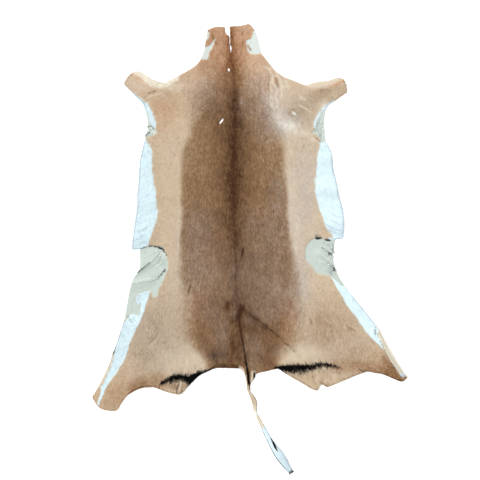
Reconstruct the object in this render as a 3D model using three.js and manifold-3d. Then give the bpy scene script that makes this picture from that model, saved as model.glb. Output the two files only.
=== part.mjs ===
// An impala hide rug: one tanned pelt lying hair side up on the floor, cut through at the neck,
// with its two foreleg tabs, two belly flaps, two hind leg tabs and the tail left on.
// Millimetres, +Z up, +Y towards the neck, origin under the middle of the pelt on the floor.
import * as THREE from "three";
import { mergeVertices } from "three/addons/utils/BufferGeometryUtils.js";
import Module from "manifold-3d";

// Driving dimensions
const PELT_WIDTH = 945; // across the hind feet
const PELT_LENGTH = 1352; // neck cut to tail tip
const SKIN = 1.4; // tanned leather
const PILE = 2.6; // depth of the hair that lies flat on it
const LUMP = 0.35; // unevenness of the coat, up and down
const CELL = 20; // spacing of the sheet's own points
const MARGIN = 24; // of the uncut sheet round the outline
const RIM_STEPS = 3; // straight pieces for each outline point
const TAIL_SIDES = 12;
const TAIL_STEPS = 34;
const HAIR_COLOUR = 0xa98463;

// The pelt's edge, clockwise from the neck's left corner as seen from above. Each run is one smooth
// cut between two corners, and starts where the run before it ends.
const EDGE = {
  neckLeft: [
    [-126, 656], [-131, 627], [-133, 605], [-143, 578], [-155, 558], [-182, 538], [-230, 513], [-251, 500],
  ],
  forelegLeft: [
    [-251, 500], [-279, 506], [-302, 517], [-329, 534], [-343, 533], [-359, 523], [-371, 506], [-376, 495],
  ],
  armpitLeft: [
    [-376, 495], [-352, 471], [-336, 454], [-320, 438], [-308, 399], [-305, 374], [-307, 355], [-314, 342],
    [-309, 330],
  ],
  bellyLeft: [
    [-309, 330], [-316, 321], [-328, 262], [-332, 201], [-336, 161], [-335, 134], [-344, 72], [-352, 0],
  ],
  bellyHemLeft: [[-352, 0], [-329, 2]],
  flankLeft: [
    [-329, 2], [-328, -49], [-333, -67], [-350, -91], [-362, -135], [-373, -197], [-388, -252], [-409, -311],
    [-422, -349], [-457, -418], [-472, -442],
  ],
  hindFootLeft: [[-472, -442], [-455, -468], [-442, -477], [-418, -483], [-400, -483], [-393, -478]],
  thighLeft: [
    [-393, -478], [-384, -462], [-362, -434], [-327, -416], [-306, -413], [-285, -413], [-247, -427],
    [-215, -433], [-202, -430],
  ],
  rumpLeft: [[-202, -430], [-180, -406], [-153, -379], [-119, -362], [-100, -355], [-68, -355], [-29, -356]],
  tailRootLeft: [[-29, -356], [-15, -369], [-12, -381], [-9, -399], [-8, -413], [-4, -425]],
  tailRootRight: [[-4, -425], [2, -423], [1, -404], [10, -392], [16, -383], [19, -371]],
  rumpRight: [[19, -371], [47, -365], [77, -358], [88, -358], [108, -371], [163, -403], [197, -421], [206, -417],
    [211, -406], [216, -400]],
  thighRight: [
    [216, -400], [223, -405], [232, -412], [252, -405], [313, -380], [350, -365], [374, -368], [399, -373],
    [426, -385], [454, -396],
  ],
  hindFootRight: [[454, -396], [463, -392], [473, -380]],
  flankRight: [
    [473, -380], [460, -366], [436, -327], [399, -262], [385, -235], [356, -198], [326, -161], [301, -128],
    [276, -94], [258, -60], [250, -32], [252, -8], [257, 31],
  ],
  bellyHemRight: [[257, 31], [281, 34]],
  bellyRight: [
    [281, 34], [282, 67], [282, 103], [276, 134], [266, 166], [258, 214], [252, 233], [249, 260], [246, 287],
    [238, 308], [229, 323],
  ],
  armpitRight: [[229, 323], [226, 350], [224, 385], [228, 412], [235, 431], [261, 449], [275, 460], [291, 470]],
  forelegRight: [
    [291, 470], [291, 484], [282, 508], [261, 514], [236, 506], [208, 504], [190, 500], [170, 493], [158, 496],
    [121, 511], [103, 518], [75, 540], [48, 572], [37, 584],
  ],
  neckRight: [[37, 584], [28, 614], [20, 645], [10, 664], [-2, 676], [-16, 673], [-36, 670], [-59, 669]],
  slitRight: [[-59, 669], [-54, 633], [-52, 614], [-50, 606], [-52, 596], [-53, 584]],
  slitLeft: [[-53, 584], [-58, 596], [-61, 627], [-61, 639], [-68, 645], [-73, 654], [-74, 667]],
  neckCrown: [[-74, 667], [-93, 668], [-105, 667], [-117, 662], [-126, 656]],
};

// Holes right through the pelt, as ellipses turned from the X axis
const HOLES = [
  { name: "nape", x: -62, y: 539, long: 6.5, wide: 2.7, turn: 1.68 },
  { name: "shoulder", x: -84, y: 385, long: 12, wide: 2.8, turn: 0.92 },
];

// Where the skin doesn't lie flat: rounded ridges along a line, with their half width and height
const RIDGES = [
  { name: "foreleg left", from: [-262, 470], to: [-372, 512], half: 34, high: 7 },
  { name: "foreleg right", from: [190, 468], to: [288, 496], half: 34, high: 7 },
  { name: "neck edge left", from: [-132, 650], to: [-150, 570], half: 26, high: 5 },
  { name: "neck edge right", from: [14, 660], to: [40, 585], half: 26, high: 6 },
  { name: "belly wave upper left", from: [-300, 250], to: [-345, 262], half: 34, high: 5 },
  { name: "belly wave middle left", from: [-290, 150], to: [-352, 132], half: 40, high: 7 },
  { name: "belly wave lower left", from: [-300, 46], to: [-360, 30], half: 38, high: 8 },
  { name: "belly wave upper right", from: [214, 270], to: [262, 276], half: 30, high: 6 },
  { name: "belly wave middle right", from: [214, 184], to: [280, 178], half: 34, high: 8 },
  { name: "belly wave lower right", from: [222, 88], to: [294, 70], half: 36, high: 7 },
  { name: "flank crease left", from: [-352, -70], to: [-286, -24], half: 24, high: 6 },
  { name: "flank crease low left", from: [-368, -112], to: [-300, -92], half: 24, high: 5 },
  { name: "flank crease right", from: [262, -48], to: [212, -12], half: 24, high: 6 },
  { name: "rump fold right", from: [-34, -182], to: [122, -290], half: 24, high: 4 },
  { name: "rump fold left", from: [-34, -182], to: [-92, -300], half: 30, high: 3 },
  { name: "hind leg left", from: [-330, -330], to: [-446, -470], half: 44, high: 8 },
  { name: "hind edge left", from: [-392, -230], to: [-452, -392], half: 28, high: 6 },
  { name: "hind edge right", from: [384, -244], to: [466, -378], half: 26, high: 11 },
  { name: "thigh wave right", from: [300, -300], to: [372, -372], half: 46, high: 7 },
  { name: "tab left", from: [-226, -380], to: [-206, -440], half: 34, high: 6 },
  { name: "tab right", from: [196, -380], to: [200, -430], half: 36, high: 5 },
];

// Patches with no hair, as ellipses with their two half widths
const BARE = [
  { name: "neck left", x: -136, y: 590, across: 12, along: 38 },
  { name: "neck right", x: 15, y: 606, across: 20, along: 40 },
  { name: "armpit left", x: -310, y: 376, across: 18, along: 46 },
  { name: "armpit right", x: 220, y: 366, across: 18, along: 50 },
  { name: "flank left", x: -300, y: -44, across: 52, along: 58 },
  { name: "thigh left", x: -352, y: -142, across: 32, along: 62 },
  { name: "flank right", x: 222, y: -24, across: 46, along: 58 },
];

// The tail from inside the rump to its tip: centre line, full width, and height at the middle
const TAIL = [
  { x: -6, y: -392, wide: 12, high: 3.4 },
  { x: -5, y: -411, wide: 8, high: 3.6 },
  { x: -1, y: -425, wide: 7.5, high: 3.8 },
  { x: 11, y: -444, wide: 13, high: 5.5 },
  { x: 17, y: -462, wide: 14.5, high: 6.5 },
  { x: 17, y: -479, wide: 10, high: 5 },
  { x: 20, y: -490, wide: 6.5, high: 3.6 },
  { x: 26, y: -501, wide: 7.5, high: 4 },
  { x: 35, y: -521, wide: 11, high: 6 },
  { x: 47, y: -545, wide: 14, high: 8 },
  { x: 59, y: -572, wide: 20, high: 10 },
  { x: 75, y: -594, wide: 24, high: 11.5 },
  { x: 89, y: -615, wide: 27, high: 12 },
  { x: 101, y: -633, wide: 25, high: 11 },
  { x: 113, y: -651, wide: 18, high: 8.5 },
  { x: 123, y: -666, wide: 11, high: 5 },
  { x: 129, y: -676, wide: 3, high: 2 },
];

const wasm = await Module();
wasm.setup();

// A closed three.js geometry as a solid that can be joined and cut
function solidOf(geometry) {
  const bare = geometry.clone();
  bare.deleteAttribute("normal");
  bare.deleteAttribute("uv");
  bare.clearGroups();
  const merged = mergeVertices(bare, 1e-4);
  return new wasm.Manifold(
    new wasm.Mesh({
      numProp: 3,
      vertProperties: new Float32Array(merged.attributes.position.array),
      triVerts: new Uint32Array(merged.index.array),
    }),
  );
}

// A solid as a three.js geometry
function geometryOf(solid) {
  const mesh = solid.getMesh();
  const geometry = new THREE.BufferGeometry();
  geometry.setAttribute("position", new THREE.BufferAttribute(new Float32Array(mesh.vertProperties), 3));
  geometry.setIndex(new THREE.BufferAttribute(new Uint32Array(mesh.triVerts), 1));
  geometry.computeVertexNormals();
  return geometry;
}

// How far a point lies from a straight line between two points
function distanceToLine(x, y, from, to) {
  const dx = to[0] - from[0];
  const dy = to[1] - from[1];
  const along = THREE.MathUtils.clamp(((x - from[0]) * dx + (y - from[1]) * dy) / (dx * dx + dy * dy), 0, 1);
  return Math.hypot(x - from[0] - along * dx, y - from[1] - along * dy);
}

// Height of the skin's underside over the floor: the highest ridge there, each a smooth hump that
// falls to nothing at its half width
function lift(x, y) {
  let highest = 0;
  for (const ridge of RIDGES) {
    const reach = distanceToLine(x, y, ridge.from, ridge.to) / ridge.half;
    if (reach < 1) highest = Math.max(highest, ridge.high * (1 - reach * reach) ** 2);
  }
  return highest;
}

// Depth of the hair: none on the bare patches, and slightly lumpy elsewhere
function pile(x, y) {
  let cover = 1;
  for (const patch of BARE) {
    const out = Math.hypot((x - patch.x) / patch.across, (y - patch.y) / patch.along);
    cover = Math.min(cover, THREE.MathUtils.smoothstep(out, 0.75, 1.15));
  }
  const lump = LUMP * Math.sin(x / 23 + Math.sin(y / 41)) * Math.sin(y / 31 + Math.sin(x / 37));
  return (PILE + lump) * cover;
}

// The pelt's outline: a smooth curve through each run, with corners where the runs meet
function outlineShape() {
  const shape = new THREE.Shape();
  const [startX, startY] = EDGE.neckLeft[0];
  shape.moveTo(startX, startY);
  for (const run of Object.values(EDGE)) {
    shape.splineThru(run.slice(1).map(([x, y]) => new THREE.Vector2(x, y)));
  }
  for (const hole of HOLES) {
    const path = new THREE.Path();
    path.absellipse(hole.x, hole.y, hole.long, hole.wide, 0, 2 * Math.PI, false, hole.turn);
    shape.holes.push(path);
  }
  return shape;
}

// A thin sheet a little larger than the pelt, raised on its ridges, with the hair's depth on top
function uncutSheet() {
  const wide = PELT_WIDTH + 2 * MARGIN;
  const long = PELT_LENGTH + 2 * MARGIN;
  const sheet = new THREE.BoxGeometry(wide, long, 1, Math.round(wide / CELL), Math.round(long / CELL), 1);
  const points = sheet.attributes.position;
  for (let i = 0; i < points.count; i += 1) {
    const x = points.getX(i);
    const y = points.getY(i);
    const top = points.getZ(i) > 0;
    points.setZ(i, lift(x, y) + (top ? SKIN + pile(x, y) : 0));
  }
  return sheet;
}

// The outline as an upright prism that cuts the pelt out of the sheet
function cutter() {
  const depth = 60;
  const prism = new THREE.ExtrudeGeometry(outlineShape(), {
    depth,
    bevelEnabled: false,
    curveSegments: RIM_STEPS,
  });
  return prism.translate(0, 0, -depth / 2);
}

// The tail: a rod bent along its centre line, with a flat underside and the width and height of its table
function tail() {
  const line = new THREE.CatmullRomCurve3(TAIL.map((row) => new THREE.Vector3(row.x, row.y, 0)));
  const size = new THREE.CatmullRomCurve3(TAIL.map((row) => new THREE.Vector3(row.wide / 2, row.high, 0)));
  const rod = new THREE.CylinderGeometry(1, 1, 1, TAIL_SIDES, TAIL_STEPS);
  const points = rod.attributes.position;
  for (let i = 0; i < points.count; i += 1) {
    const t = THREE.MathUtils.clamp(0.5 - points.getY(i), 0, 1);
    const at = line.getPoint(t);
    const ahead = line.getTangent(t);
    const { x: halfWidth, y: height } = size.getPoint(t);
    const across = points.getX(i) * halfWidth;
    points.setXYZ(i, at.x - ahead.y * across, at.y + ahead.x * across, Math.max(points.getZ(i), 0) * height);
  }
  return rod;
}

const pelt = solidOf(uncutSheet()).intersect(solidOf(cutter())).add(solidOf(tail()));

const hide = new THREE.Mesh(
  geometryOf(pelt),
  new THREE.MeshStandardMaterial({ color: HAIR_COLOUR, roughness: 0.82, metalness: 0 }),
);
hide.name = "hide";

const group = new THREE.Group();
group.name = "impala_hide";
group.add(hide);

export default group;
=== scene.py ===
"""Looks for the impala hide rug: the skin, its short lying hair, the tail and a plain studio.

Lengths in the tables are millimetres on the floor plane, +Y towards the neck, and the meshes are metres.
"""

import logging
from dataclasses import dataclass, field
from enum import IntEnum
from typing import TypeVar

import bpy
import numpy as np
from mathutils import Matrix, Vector


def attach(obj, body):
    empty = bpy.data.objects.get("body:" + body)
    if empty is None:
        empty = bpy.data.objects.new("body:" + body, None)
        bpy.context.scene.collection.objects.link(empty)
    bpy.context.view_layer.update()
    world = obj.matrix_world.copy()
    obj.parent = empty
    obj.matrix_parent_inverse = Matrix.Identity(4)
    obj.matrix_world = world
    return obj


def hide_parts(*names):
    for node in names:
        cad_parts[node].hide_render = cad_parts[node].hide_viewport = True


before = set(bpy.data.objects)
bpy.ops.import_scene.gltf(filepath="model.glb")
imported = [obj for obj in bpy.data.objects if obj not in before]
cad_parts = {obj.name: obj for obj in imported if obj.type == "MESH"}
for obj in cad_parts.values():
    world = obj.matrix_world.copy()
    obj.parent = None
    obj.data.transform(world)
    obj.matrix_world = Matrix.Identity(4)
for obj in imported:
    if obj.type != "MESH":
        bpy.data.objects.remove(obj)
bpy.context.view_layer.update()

MM = 0.001
SEED = 41
SKIN = 1.4
UNDER_HAIR = 1.3
HAIR_RISE = 1.4
LOCK_LIMIT = 66000
LOCK_MIDDLE = 0.55
HALF_GRID = (480, 684)
UNWRAP_START = np.array([490, 700])
UNWRAP_SPAN = np.array([1000, 1410])

Points = tuple[tuple[float, float], ...]
Array = np.ndarray
Colour = tuple[float, float, float, float]
Row = TypeVar("Row")

log = logging.getLogger("impala_hide")


class Zone(IntEnum):
    """The things that vary over the pelt, each with its place in the attributes of a mesh."""

    TONE = 0
    WARM = 1
    MAUVE = 2
    CREAM = 3
    WHITE = 4
    BLACK = 5
    BARE = 6
    # Real stains, blotches and speckles, and painted shade in the skin's creases and wrinkles, under the
    # belly's hems and beside the leg's roll.
    STAIN_AND_SHADE = 7
    # Painted shade: darker, greyer colour at the pelt's outline, in the belly flaps' waves, on the tail and
    # on the leg roll's tip.
    PAINTED_SHADE = 8


def from_rows(kind: type[Row], *table: tuple) -> tuple[Row, ...]:
    """Makes one thing of a kind from each row of a table."""
    return tuple(kind(*row) for row in table)


# The pelt's edge, clockwise from the neck's left corner as seen from above. Each run is one smooth
# cut between two corners, and starts where the run before it ends.
EDGE: dict[str, Points] = {
    "neck left": ((-126, 656), (-131, 627), (-133, 605), (-143, 578), (-155, 558), (-182, 538), (-230, 513),
     (-251, 500)),
    "foreleg left": ((-251, 500), (-279, 506), (-302, 517), (-329, 534), (-343, 533), (-359, 523),
     (-371, 506), (-376, 495)),
    "armpit left": ((-376, 495), (-352, 471), (-336, 454), (-320, 438), (-308, 399), (-305, 374),
     (-307, 355), (-314, 342), (-309, 330)),
    "belly left": ((-309, 330), (-316, 321), (-328, 262), (-332, 201), (-336, 161), (-335, 134), (-344, 72),
     (-352, 0)),
    "belly hem left": ((-352, 0), (-329, 2)),
    "flank left": ((-329, 2), (-328, -49), (-333, -67), (-350, -91), (-362, -135), (-373, -197),
     (-388, -252), (-409, -311), (-422, -349), (-457, -418), (-472, -442)),
    "hind foot left": ((-472, -442), (-455, -468), (-442, -477), (-418, -483), (-400, -483), (-393, -478)),
    "thigh left": ((-393, -478), (-384, -462), (-362, -434), (-327, -416), (-306, -413), (-285, -413),
     (-247, -427), (-215, -433), (-202, -430)),
    "rump left": ((-202, -430), (-180, -406), (-153, -379), (-119, -362), (-100, -355), (-68, -355),
     (-29, -356)),
    "tail root left": ((-29, -356), (-15, -369), (-12, -381), (-9, -399), (-8, -413), (-4, -425)),
    "tail root right": ((-4, -425), (2, -423), (1, -404), (10, -392), (16, -383), (19, -371)),
    "rump right": ((19, -371), (47, -365), (77, -358), (88, -358), (108, -371), (163, -403), (197, -421),
     (206, -417), (211, -406), (216, -400)),
    "thigh right": ((216, -400), (223, -405), (232, -412), (252, -405), (313, -380), (350, -365),
     (374, -368), (399, -373), (426, -385), (454, -396)),
    "hind foot right": ((454, -396), (463, -392), (473, -380)),
    "flank right": ((473, -380), (460, -366), (436, -327), (399, -262), (385, -235), (356, -198),
     (326, -161), (301, -128), (276, -94), (258, -60), (250, -32), (252, -8), (257, 31)),
    "belly hem right": ((257, 31), (281, 34)),
    "belly right": ((281, 34), (282, 67), (282, 103), (276, 134), (266, 166), (258, 214), (252, 233),
     (249, 260), (246, 287), (238, 308), (229, 323)),
    "armpit right": ((229, 323), (226, 350), (224, 385), (228, 412), (235, 431), (261, 449), (275, 460),
     (291, 470)),
    "foreleg right": ((291, 470), (291, 484), (282, 508), (261, 514), (236, 506), (208, 504), (190, 500),
     (170, 493), (158, 496), (121, 511), (103, 518), (75, 540), (48, 572), (37, 584)),
    "neck right": ((37, 584), (28, 614), (20, 645), (10, 664), (-2, 676), (-16, 673), (-36, 670),
     (-59, 669)),
    "slit right": ((-59, 669), (-57, 633), (-56, 614), (-53, 606), (-55, 596), (-53, 584)),
    "slit left": ((-53, 584), (-58, 596), (-61, 627), (-61, 639), (-68, 645), (-73, 654), (-74, 667)),
    "neck crown": ((-74, 667), (-93, 668), (-105, 667), (-117, 662), (-126, 656)),
}


@dataclass(frozen=True)
class Hole:
    """A hole right through the pelt: an ellipse, turned in radians from the X axis."""

    name: str
    x: float
    y: float
    long: float
    wide: float
    turn: float


HOLES = from_rows(
    Hole,
    ("nape", -62, 539, 6.5, 2.7, 1.68),
    ("shoulder", -84, 385, 12, 2.8, 0.92),
)


@dataclass(frozen=True)
class Ridge:
    """A rounded rise of the skin over the floor along a line, with its half width and height."""

    name: str
    start: tuple[float, float]
    end: tuple[float, float]
    half: float
    high: float


RIDGES = from_rows(
    Ridge,
    ("foreleg left", (-262, 470), (-372, 512), 34, 7),
    ("foreleg right", (190, 468), (288, 496), 34, 7),
    ("neck edge left", (-132, 650), (-150, 570), 26, 5),
    ("neck edge right", (14, 660), (40, 585), 26, 6),
    ("belly wave upper left", (-300, 250), (-345, 262), 34, 5),
    ("belly wave middle left", (-290, 150), (-352, 132), 40, 7),
    ("belly wave lower left", (-300, 46), (-360, 30), 38, 8),
    ("belly wave upper right", (214, 270), (262, 276), 30, 6),
    ("belly wave middle right", (214, 184), (280, 178), 34, 8),
    ("belly wave lower right", (222, 88), (294, 70), 36, 7),
    ("flank crease left", (-352, -70), (-286, -24), 24, 6),
    ("flank crease low left", (-368, -112), (-300, -92), 24, 5),
    ("flank crease right", (262, -48), (212, -12), 24, 6),
    ("rump fold right", (-34, -182), (122, -290), 24, 4),
    ("rump fold left", (-34, -182), (-92, -300), 30, 3),
    ("hind leg left", (-330, -330), (-446, -470), 44, 8),
    ("hind edge left", (-392, -230), (-452, -392), 28, 6),
    ("hind edge right", (384, -244), (466, -378), 26, 11),
    ("thigh wave right", (300, -300), (372, -372), 46, 7),
    ("tab left", (-226, -380), (-206, -440), 34, 6),
    ("tab right", (196, -380), (200, -430), 36, 5),
)


@dataclass(frozen=True)
class Station:
    """One cross section of the brown back: the saddle's two edges, and how dark it is over its width.

    left and right are the saddle's edges, and soft_left and soft_right how far each fades. spine is the
    dark line's place. A tone is 0 on a pale flank and 1 on the darkest line: line is the tone there,
    tone_left and tone_right those just inside the edges, and fall_left and fall_right how far from the
    line the tone drops most of the way.
    """

    y: float
    left: float
    soft_left: float
    tone_left: float
    fall_left: float
    spine: float
    line: float
    fall_right: float
    tone_right: float
    soft_right: float
    right: float


BACK = from_rows(
    Station,
    (690, -150, 60, 0.06, 26, -60, 0.42, 26, 0.08, 60, 30),
    (658, -150, 60, 0.06, 26, -58, 0.44, 26, 0.08, 60, 30),
    (613, -150, 60, 0.05, 26, -57, 0.56, 24, 0.06, 60, 40),
    (568, -160, 60, 0.02, 36, -53, 0.7, 26, 0, 60, 60),
    (508, -170, 70, 0.04, 58, -47, 0.72, 38, 0.04, 60, 60),
    (448, -152, 62, 0.48, 24, -46, 0.9, 34, 0.28, 44, 50),
    (373, -168, 26, 0.36, 52, -46, 0.98, 58, 0.2, 34, 78),
    (298, -199, 13, 0.32, 60, -46, 1.02, 55, 0.34, 16, 100),
    (228, -205, 10, 0.38, 55, -46, 1.01, 50, 0.39, 12, 106),
    (178, -200, 8, 0.42, 50, -46, 1, 46, 0.43, 8, 112),
    (43, -208, 7, 0.46, 44, -44, 0.9, 36, 0.46, 9, 122),
    (-77, -205, 18, 0.38, 50, -41, 0.74, 40, 0.5, 24, 137),
    (-181, -180, 46, 0.42, 54, -36, 0.86, 50, 0.48, 50, 130),
    (-271, -180, 34, 0.5, 40, -26, 0.78, 36, 0.58, 50, 122),
    (-337, -123, 20, 0.64, 40, -12, 0.72, 30, 0.56, 20, 86),
    (-380, -110, 18, 0.66, 40, -8, 0.72, 30, 0.56, 20, 78),
)


@dataclass(frozen=True)
class Region:
    """A part of the coat inside a closed line, with how soft and how ragged its edge is."""

    name: str
    edge: Points
    soft: float = 5.0
    ragged: float = 2.0
    strength: float = 1.0


NECK_PATCH_RIGHT: Points = ((-13, 629), (4, 633), (8, 653), (16, 657), (50, 650), (60, 590), (36, 588),
    (20, 585), (2, 585), (-7, 593), (-11, 614))
NECK_PATCH_LEFT: Points = ((-100, 633), (-107, 631), (-118, 612), (-131, 607), (-155, 604), (-170, 570),
    (-146, 570), (-127, 570), (-119, 590), (-110, 607))
NECK_STRIP_LEFT: Points = ((-127, 655), (-120, 651), (-121, 633), (-130, 626), (-145, 630), (-145, 655))

CREAM_REGIONS = from_rows(
    Region,
    ("neck patch right paler", NECK_PATCH_RIGHT, 2, 2, 0.45),
    ("neck patch left paler", NECK_PATCH_LEFT, 2, 1.5, 0.5),
    ("neck strip left paler", NECK_STRIP_LEFT, 2, 1.5, 0.5),
    ("foreleg strip left", ((-350, 521), (-332, 516), (-314, 499), (-288, 485), (-265, 482), (-240, 492),
     (-214, 508), (-214, 530), (-300, 545), (-345, 550)), 6, 3, 1.1),
    ("foreleg strip right", ((176, 484), (208, 482), (234, 484), (251, 494), (276, 507), (285, 525),
     (200, 525), (170, 500)), 6, 2, 0.5),
    ("leg strip left", ((-404, -300), (-407, -326), (-416, -353), (-427, -374), (-437, -402), (-450, -414),
     (-480, -425), (-470, -380), (-430, -300)), 2, 1, 0.62),
    ("leg roll right", ((383, -236), (387, -262), (400, -290), (420, -329), (449, -371), (480, -385),
     (470, -340), (400, -230)), 2, 0.5, 0.85),
)

WHITE_REGIONS = from_rows(
    Region,
    ("belly left", ((-312, 330), (-290, 295), (-293, 242), (-284, 188), (-278, 134), (-276, 99), (-285, 65),
     (-299, 29), (-304, 6), (-334, -6), (-356, -14), (-390, 0), (-380, 340))),
    ("belly right", ((214, 322), (212, 314), (205, 287), (201, 242), (198, 201), (198, 170), (206, 134),
     (220, 95), (233, 59), (246, 46), (252, 38), (232, 34), (240, 22), (310, 20), (310, 330), (236, 326))),
    ("armpit strip left", ((-356, 476), (-325, 451), (-306, 436), (-291, 410), (-281, 378), (-279, 364),
     (-290, 366), (-330, 380), (-340, 430), (-370, 462)), 3, 0.6),
    ("armpit strip right", ((252, 448), (236, 438), (220, 426), (207, 408), (195, 385), (192, 364),
     (203, 366), (213, 394), (225, 412), (250, 420), (270, 440)), 3, 0.6),
    ("leg band left", ((-297, -124), (-309, -160), (-323, -204), (-343, -246), (-360, -284), (-374, -328),
     (-395, -366), (-416, -394), (-429, -411), (-441, -443), (-452, -467), (-458, -467), (-452, -446),
     (-445, -424), (-450, -414), (-437, -402), (-427, -374), (-416, -353), (-407, -326), (-404, -300),
     (-430, -296), (-400, -215), (-372, -217), (-365, -206), (-356, -194), (-345, -192), (-331, -199),
     (-326, -179), (-328, -164), (-341, -161), (-340, -143), (-328, -131), (-311, -125)), 5, 1.2),
    ("leg band right", ((240, -84), (250, -90), (265, -120), (288, -163), (322, -206), (347, -244),
     (377, -278), (399, -297), (400, -288), (384, -256), (386, -236), (410, -232), (300, -76), (262, -62),
     (252, -78)), 4, 1.3),
)

BLACK_REGIONS = from_rows(
    Region,
    ("buttock stripe left", ((-272, -408), (-264, -398), (-248, -388), (-229, -377), (-208, -376),
     (-188, -380), (-168, -374), (-148, -367), (-128, -364), (-106, -354), (-104, -372), (-150, -405),
     (-178, -420), (-185, -410), (-194, -400), (-208, -398), (-229, -401), (-248, -402), (-262, -407)), 2,
     1.2),
    ("buttock stripe right", ((72, -355), (91, -350), (112, -348), (137, -348), (161, -348), (187, -347),
     (212, -343), (232, -343), (251, -348), (276, -357), (276, -360), (251, -358), (227, -358), (204, -361),
     (188, -366), (174, -370), (156, -374), (137, -374), (112, -372), (92, -367), (74, -363)), 2.5, 1.2),
)

BARE_REGIONS = from_rows(
    Region,
    ("flank left", ((-333, 1), (-312, 9), (-285, 13), (-260, 11), (-247, -15), (-242, -42), (-247, -67),
     (-260, -98), (-271, -115), (-274, -142), (-288, -146), (-297, -125), (-313, -126), (-333, -134),
     (-343, -143), (-340, -158), (-328, -165), (-326, -179), (-331, -197), (-345, -195), (-356, -194),
     (-365, -206), (-372, -217), (-400, -217), (-400, -3)), 2, 1.2),
    ("flank right", ((258, 30), (226, 35), (195, 37), (177, 24), (165, 4), (166, -30), (184, -48),
     (200, -70), (227, -77), (240, -82), (253, -89), (266, -99), (276, -110), (310, -110), (290, -60),
     (282, 26)), 2, 1.2),
    ("armpit left", ((-330, 446), (-318, 432), (-304, 412), (-296, 388), (-288, 368), (-281, 366),
     (-275, 349), (-287, 344), (-301, 338), (-312, 336), (-350, 340), (-350, 446)), 2, 1.2),
    ("armpit right", ((236, 430), (214, 412), (204, 392), (196, 366), (184, 345), (196, 348), (207, 336),
     (214, 320), (226, 325), (270, 330), (270, 430)), 2, 1.5),
    ("neck patch right", NECK_PATCH_RIGHT, 2, 2),
    ("neck patch left", NECK_PATCH_LEFT, 2, 1.5),
    ("neck strip left", NECK_STRIP_LEFT, 2, 1.5),
)

REGIONS: dict[Zone, tuple[Region, ...]] = {
    Zone.CREAM: CREAM_REGIONS,
    Zone.WHITE: WHITE_REGIONS,
    Zone.BLACK: BLACK_REGIONS,
    Zone.BARE: BARE_REGIONS,
}


@dataclass(frozen=True)
class Streak:
    """A narrow mark along a line, with its half width at each end."""

    name: str
    line: Points
    first: float
    last: float
    strength: float = 1.0
    soft: float = 2.5


NECK_SLIVER: Points = ((-5, 612), (-1, 605), (4, 599))
NECK_END_RIGHT: Points = ((-58, 668), (-18, 673), (-2, 675), (10, 662))
THIGH_LEFT: Points = ((-340, -418), (-318, -406), (-292, -402), (-270, -398))
THIGH_RIGHT: Points = ((262, -349), (296, -350), (326, -354), (352, -359))
TAIL_ROOT_LEFT: Points = ((-24, -360), (-17, -374), (-13, -392), (-9, -412))

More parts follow.
